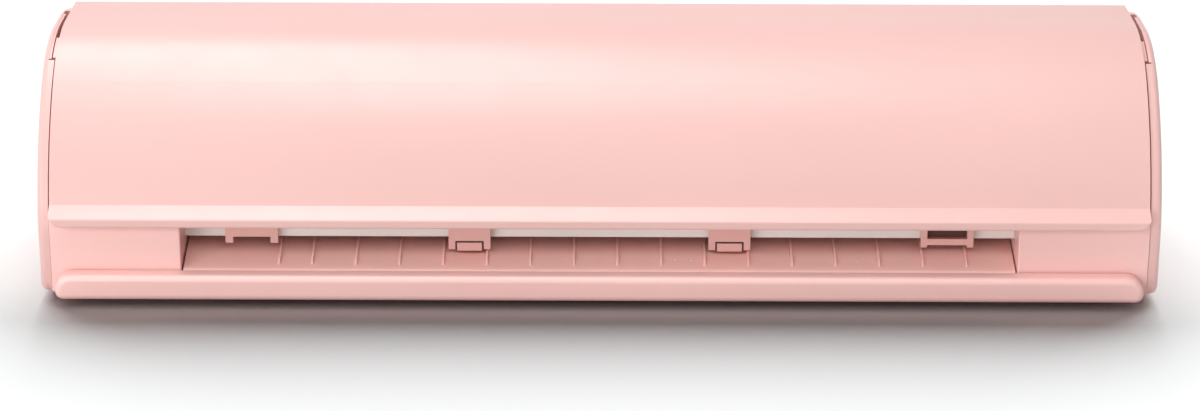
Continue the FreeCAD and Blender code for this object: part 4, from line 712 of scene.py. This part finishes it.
def plate_under():
    """A bare rating plate under the base."""
    low, high = corners("base_pan")
    shape = Shape()
    origin = ((low.x + high.x) / 2, (low.y + high.y) / 2, low.z)
    add_plate(shape, origin, DOWNWARD, PLATE_HALF, PLATE_HALF / 2, PLATE_CORNER, PLATE_WALL, PLATE_EDGE)
    shape.place("rating_plate", "case", "zinc")


LID_RIBS = 7
LID_RIB_PITCH = 62.0
LID_HEART = (-5.0, 45.0)
LID_RIB_FIRST = 20.0
LID_RIB_LAST = 92.0
LID_RIB_STEPS = 36
LID_RIB_DEPTH = 2.4
LID_RIB_HALF = 0.8
LID_RIB_TAPER = 0.7
LID_RIB_END = 0.15
LID_RIB_CLIMB = 6.0
LID_SINK = 0.4


def lid_ribs():
    """Stiffening ribs under the lid: each follows the shell's inner face from the lip to the crown."""
    shell = skin_of("lid")
    shape = Shape()
    for i in range(LID_RIBS):
        x = (i - (LID_RIBS - 1) / 2) * LID_RIB_PITCH
        heart = Vector((x, LID_HEART[0], LID_HEART[1]))
        loops = []
        for step in range(LID_RIB_STEPS + 1):
            share = step / LID_RIB_STEPS
            angle = math.radians(LID_RIB_FIRST + (LID_RIB_LAST - LID_RIB_FIRST) * share)
            out = Vector((0.0, -math.cos(angle), math.sin(angle)))
            skin = shell.ray_cast(heart, out)[0]
            near_end = LID_RIB_END + LID_RIB_CLIMB * min(share, 1 - share)
            depth = LID_RIB_DEPTH * min(1.0, near_end)
            loops.append([])
            for side, drop in ((-1, -LID_SINK), (1, -LID_SINK), (1, depth), (-1, depth)):
                taper = LID_RIB_HALF if drop < 0 else LID_RIB_TAPER * LID_RIB_HALF
                loops[-1].append(skin - out * drop + Vector((side * taper, 0.0, 0.0)))
        shape.loft(loops)
    shape.place("lid_ribs", "lid", "pink_shell")


TRIM_HEART = (20.0, 60.0)
TRIM_FIRST = 42.0
TRIM_LAST = 84.0
TRIM_STEPS = 28
TRIM_GAP = 0.5
TRIM_RIM = 1.7
TRIM_DEPTH = 7.0


def hinge_trims():
    """A trim strip in each end cap's hinge recess, flush with the cap's rim, outside the lid's swing."""
    lid_high = corners("lid")[1]
    for side, label in ((-1, "left"), (1, "right")):
        low, high = corners(f"{label}_end_cap")
        outer = high.x if side > 0 else low.x
        cap = skin_of(f"{label}_end_cap")
        near = side * lid_high.x + side * TRIM_GAP
        rim = outer - side * TRIM_RIM
        loops = []
        for step in range(TRIM_STEPS + 1):
            angle = math.radians(TRIM_FIRST + (TRIM_LAST - TRIM_FIRST) * step / TRIM_STEPS)
            out = Vector((0.0, -math.cos(angle), math.sin(angle)))
            edge = cap.ray_cast(Vector((rim, *TRIM_HEART)), out)[3]
            inside = Vector((near, *TRIM_HEART)) + out * (edge - TRIM_RIM)
            wall = cap.ray_cast(inside, Vector((side, 0.0, 0.0)))[0].x + side * SINK
            loops.append([])
            for x, reach in ((near, -TRIM_DEPTH), (near, -SINK), (wall, 0.0), (wall, -TRIM_DEPTH)):
                spot = Vector((0.0, *TRIM_HEART)) + out * (edge + reach)
                loops[-1].append((x, spot.y, spot.z))
        shape = Shape()
        shape.loft(loops)
        shape.place(f"{label}_hinge_trim", "case", "pink_shell")


WINDOW_IN = 3.2
WINDOW_HALF = 9.6
WINDOW_RISE = 4.6
WINDOW_WALL = 0.7
WINDOW_CORNER = 0.6
WINDOW_EDGE = 0.2
LATCH_IN = 0.8
LATCH_HALF = 6.9
LATCH_RISE = 2.35
LATCH_WALL = 0.12
LATCH_CORNER = 0.4
LATCH_EDGE = 0.05


def arm_details():
    """A plate in the right outer arm's window and a thin seam plate round each middle arm's latch, both in a
    dark brownish pink that is painted shade.
    """
    low, high = corners("right_pinch_arm")
    middle = (low.x + high.x) / 2
    window = Shape()
    origin = (middle, low.y + WINDOW_IN, (low.z + high.z) / 2)
    sizes = (WINDOW_HALF, WINDOW_RISE, WINDOW_CORNER, WINDOW_WALL, WINDOW_EDGE)
    add_plate(window, origin, FORWARD, *sizes)
    # The window plate's dark colour is painted shade, not a dark part.
    window.place("right_arm_window_shade", "right_arm", "black_plastic", PAINTED_SHADE)
    for label in ("left_middle", "right_middle"):
        low, high = corners(f"{label}_pinch_arm")
        origin = ((low.x + high.x) / 2, low.y + LATCH_IN, low.z + LATCH_RISE)
        seam = Shape()
        sizes = (LATCH_HALF, LATCH_RISE, LATCH_CORNER, LATCH_WALL, LATCH_EDGE)
        add_plate(seam, origin, FORWARD, *sizes)
        # The seam plate's dark colour is painted shade in the gap round the latch.
        seam.place(f"{label}_latch_seam_shade", f"{label}_arm", "black_plastic", PAINTED_SHADE)


RIB_COUNT = 16
RIB_PITCH = 21.1
RIB_FIRST = -139.0
RIB_EXTRA = -155.0
RIB_FRONT = -73.0
RIB_REAR = -50.0
RIB_STEPS = 32
RIB_RISE = 1.2
RIB_HALF = 0.65
RIB_TAPER = 0.75
RIB_START = 0.2
RIB_CLIMB = 8.0
RIB_END = 0.1
RIB_FALL = 3.2


def feed_ribs():
    """Guide ribs on the feed ramp: each runs out at both ends and stays below the rollers' nip."""
    top = skin_of("feed_platen")
    shape = Shape()
    for x in [RIB_EXTRA] + [RIB_FIRST + i * RIB_PITCH for i in range(RIB_COUNT)]:
        loops = []
        for step in range(RIB_STEPS + 1):
            share = step / RIB_STEPS
            y = RIB_FRONT + (RIB_REAR - RIB_FRONT) * share
            floor_z = top.ray_cast(Vector((x, y, RAY_HEIGHT)), DOWN)[0].z
            front = RIB_START + RIB_CLIMB * share
            rear = RIB_END + RIB_FALL * (1 - share)
            rise = RIB_RISE * min(1.0, front, rear)
            loops.append([])
            for side, level in ((-1, -SINK), (1, -SINK), (1, rise), (-1, rise)):
                half = RIB_HALF if level < 0 else RIB_TAPER * RIB_HALF
                loops[-1].append((x + side * half, y, floor_z + level))
        shape.loft(loops)
    # The ribs take the shell's lighter, glossier pink rather than the ramp's own pink: a painted highlight
    # that makes them read as bright lines.
    shape.place("feed_ribs", "case", "pink_shell")


MARK_GROUPS = (37.0, 117.0)
MARK_PITCH = 7.8
MARK_LINE = -68.0
MARK_RADIUS = 0.8
MARK_COUNT = 3
MARK_POINTS = 20
MARK_SIDE = 0.15
MARK_RISE = 0.35
MARK_CROWN = 0.6


def feed_marks():
    """Small raised dots on the feed ramp, in two groups of three, that line up the sheet."""
    top = skin_of("feed_platen")
    shape = Shape()
    for group in MARK_GROUPS:
        for i in range(MARK_COUNT):
            above = Vector((group + i * MARK_PITCH, MARK_LINE, RAY_HEIGHT))
            spot, normal = top.ray_cast(above, DOWN)[:2]
            across = Vector((1.0, 0.0, 0.0))
            foot = circle(MARK_RADIUS, MARK_POINTS)
            crown = circle(MARK_CROWN * MARK_RADIUS, MARK_POINTS)
            layers = [(foot, -SINK), (foot, MARK_SIDE), (crown, MARK_RISE)]
            shape.stack(layers, spot, (across, normal.cross(across), normal))
    shape.place("feed_marks", "case", "pink_inner")


toothed_belt()
tool_grips()
key_signs()
carriage_face()
arm_springs()
board_parts()
plate_under()
lid_ribs()
hinge_trims()
arm_details()
feed_ribs()
feed_marks()


# Floor, light and camera

SENSOR = 36.0
PHOTO_WIDTH = 1200
FOCAL_PIXELS = 3182
CAMERA_PLACE = (0.0002, -1.5087, 0.5706)
CAMERA_HEIGHT = 20.0
CAMERA_ROLL = 0.2
FLOOR_WIDTH = 12.0
FLOOR_DAPPLE = 2.0
FLOOR_DARK = (0.86, 0.885, 0.885, 1.0)
FLOOR_LIGHT = (0.88, 0.905, 0.905, 1.0)
WORLD_SEEN = 1.0
WORLD_LIGHT = 0.15
SUN_POWER = 2.8
SUN_HEIGHT = 39.0
SUN_SIDE = 20.0
SUN_SPREAD = 46.0
LIGHT_AIM = Vector((0.0, 0.0, 0.05))
HIGH_BOX = {"place": (-0.3, -0.08, 1.8), "size": (2.0, 0.75), "power": 28.5}
FRONT_BOX = {"place": (-1.0, -1.5, 1.2), "size": (3.0, 1.4), "power": 6.0}
LOW_BOX = {"place": (-1.3, -1.9, 0.35), "size": (1.8, 0.6), "power": 15.5}
RAMP_BOX = {"place": (-0.35, -1.3, 1.05), "size": (2.4, 0.4), "power": 18.0}
PANEL_BOX = {"place": (-0.9, -1.3, 0.8), "size": (1.2, 0.4), "power": 8.0}


def lay_floor():
    """A pale studio floor that takes the machine's soft shadow."""
    paint = Paint("studio_floor")
    dapple = paint.noise(FLOOR_DAPPLE)
    paint.colour(paint.ramp(dapple, NOISE_LOW, NOISE_HIGH, FLOOR_DARK, FLOOR_LIGHT))
    paint.set(Roughness=0.9, Specular_IOR_Level=0.0)
    bpy.ops.mesh.primitive_plane_add(size=FLOOR_WIDTH, location=(0, 0, 0))
    floor = bpy.context.object
    floor.name = "studio_floor"
    floor.data.materials.append(paint.material)
    return floor


def light_world():
    """A plain surround: white to the camera and in reflections, dim as a light."""
    world = bpy.data.worlds.new("studio")
    bpy.context.scene.world = world
    world.use_nodes = True
    tree = world.node_tree
    back = tree.nodes["Background"]
    back.inputs["Color"].default_value = (1.0, 1.0, 1.0, 1.0)
    seen = tree.nodes.new("ShaderNodeLightPath")
    strength = tree.nodes.new("ShaderNodeMapRange")
    strength.inputs["To Min"].default_value = WORLD_SEEN
    strength.inputs["To Max"].default_value = WORLD_LIGHT
    tree.links.new(seen.outputs["Is Diffuse Ray"], strength.inputs["Value"])
    tree.links.new(strength.outputs["Result"], back.inputs["Strength"])


def share_light(lamp, things, only):
    """Keeps a lamp's light to some things, or off them, so that floor, slot and shell are lit apart."""
    group = bpy.data.collections.new(lamp.name + "_light")
    for thing in things:
        group.objects.link(thing)
    lamp.light_linking.receiver_collection = group
    for share in group.collection_objects:
        share.light_linking.link_state = "INCLUDE" if only else "EXCLUDE"


def soft_box(name, things, place, size, power, only=False):
    """A rectangular soft box aimed at the machine."""
    lamp = bpy.data.lights.new(name, "AREA")
    lamp.shape = "RECTANGLE"
    lamp.size, lamp.size_y = size
    lamp.energy = power
    box = bpy.data.objects.new(name, lamp)
    box.location = place
    box.rotation_euler = (LIGHT_AIM - Vector(place)).to_track_quat("-Z", "Y").to_euler()
    bpy.context.scene.collection.objects.link(box)
    share_light(box, things, only)


def shadow_suns(floor):
    """Wide soft suns behind the machine: they whiten the floor and throw the shadow forward and aside."""
    for name, side in (("left_sun", -SUN_SIDE), ("right_sun", SUN_SIDE)):
        lamp = bpy.data.lights.new(name, "SUN")
        lamp.energy = SUN_POWER
        lamp.angle = math.radians(SUN_SPREAD)
        sun = bpy.data.objects.new(name, lamp)
        sun.rotation_euler = (math.radians(SUN_HEIGHT - 90), 0.0, math.radians(side))
        bpy.context.scene.collection.objects.link(sun)
        share_light(sun, [floor], only=True)


def aim_camera():
    """The photograph's view: level with the machine's front, from a little above."""
    lens = bpy.data.cameras.new("photo_camera")
    lens.sensor_width = SENSOR
    lens.lens = SENSOR * FOCAL_PIXELS / PHOTO_WIDTH
    camera = bpy.data.objects.new("photo_camera", lens)
    camera.location = CAMERA_PLACE
    tilt = Matrix.Rotation(math.radians(90 - CAMERA_HEIGHT), 3, "X")
    roll = Matrix.Rotation(math.radians(CAMERA_ROLL), 3, "Z")
    camera.rotation_euler = (tilt @ roll).to_euler()
    bpy.context.scene.collection.objects.link(camera)
    bpy.context.scene.camera = camera


bpy.context.scene.view_settings.view_transform = "Standard"
floor = lay_floor()
light_world()
shadow_suns(floor)
ramp = [nodes["feed_platen"], bpy.data.objects["feed_ribs"], bpy.data.objects["feed_marks"]]
front = [nodes[name] for name in ("left_front_panel", "right_front_panel", "tray_front")]
soft_box("high_box", [floor], **HIGH_BOX)
soft_box("front_box", [floor], **FRONT_BOX)
soft_box("low_box", [floor] + ramp, **LOW_BOX)
soft_box("ramp_box", ramp, **RAMP_BOX, only=True)
soft_box("panel_box", front, **PANEL_BOX, only=True)
aim_camera()
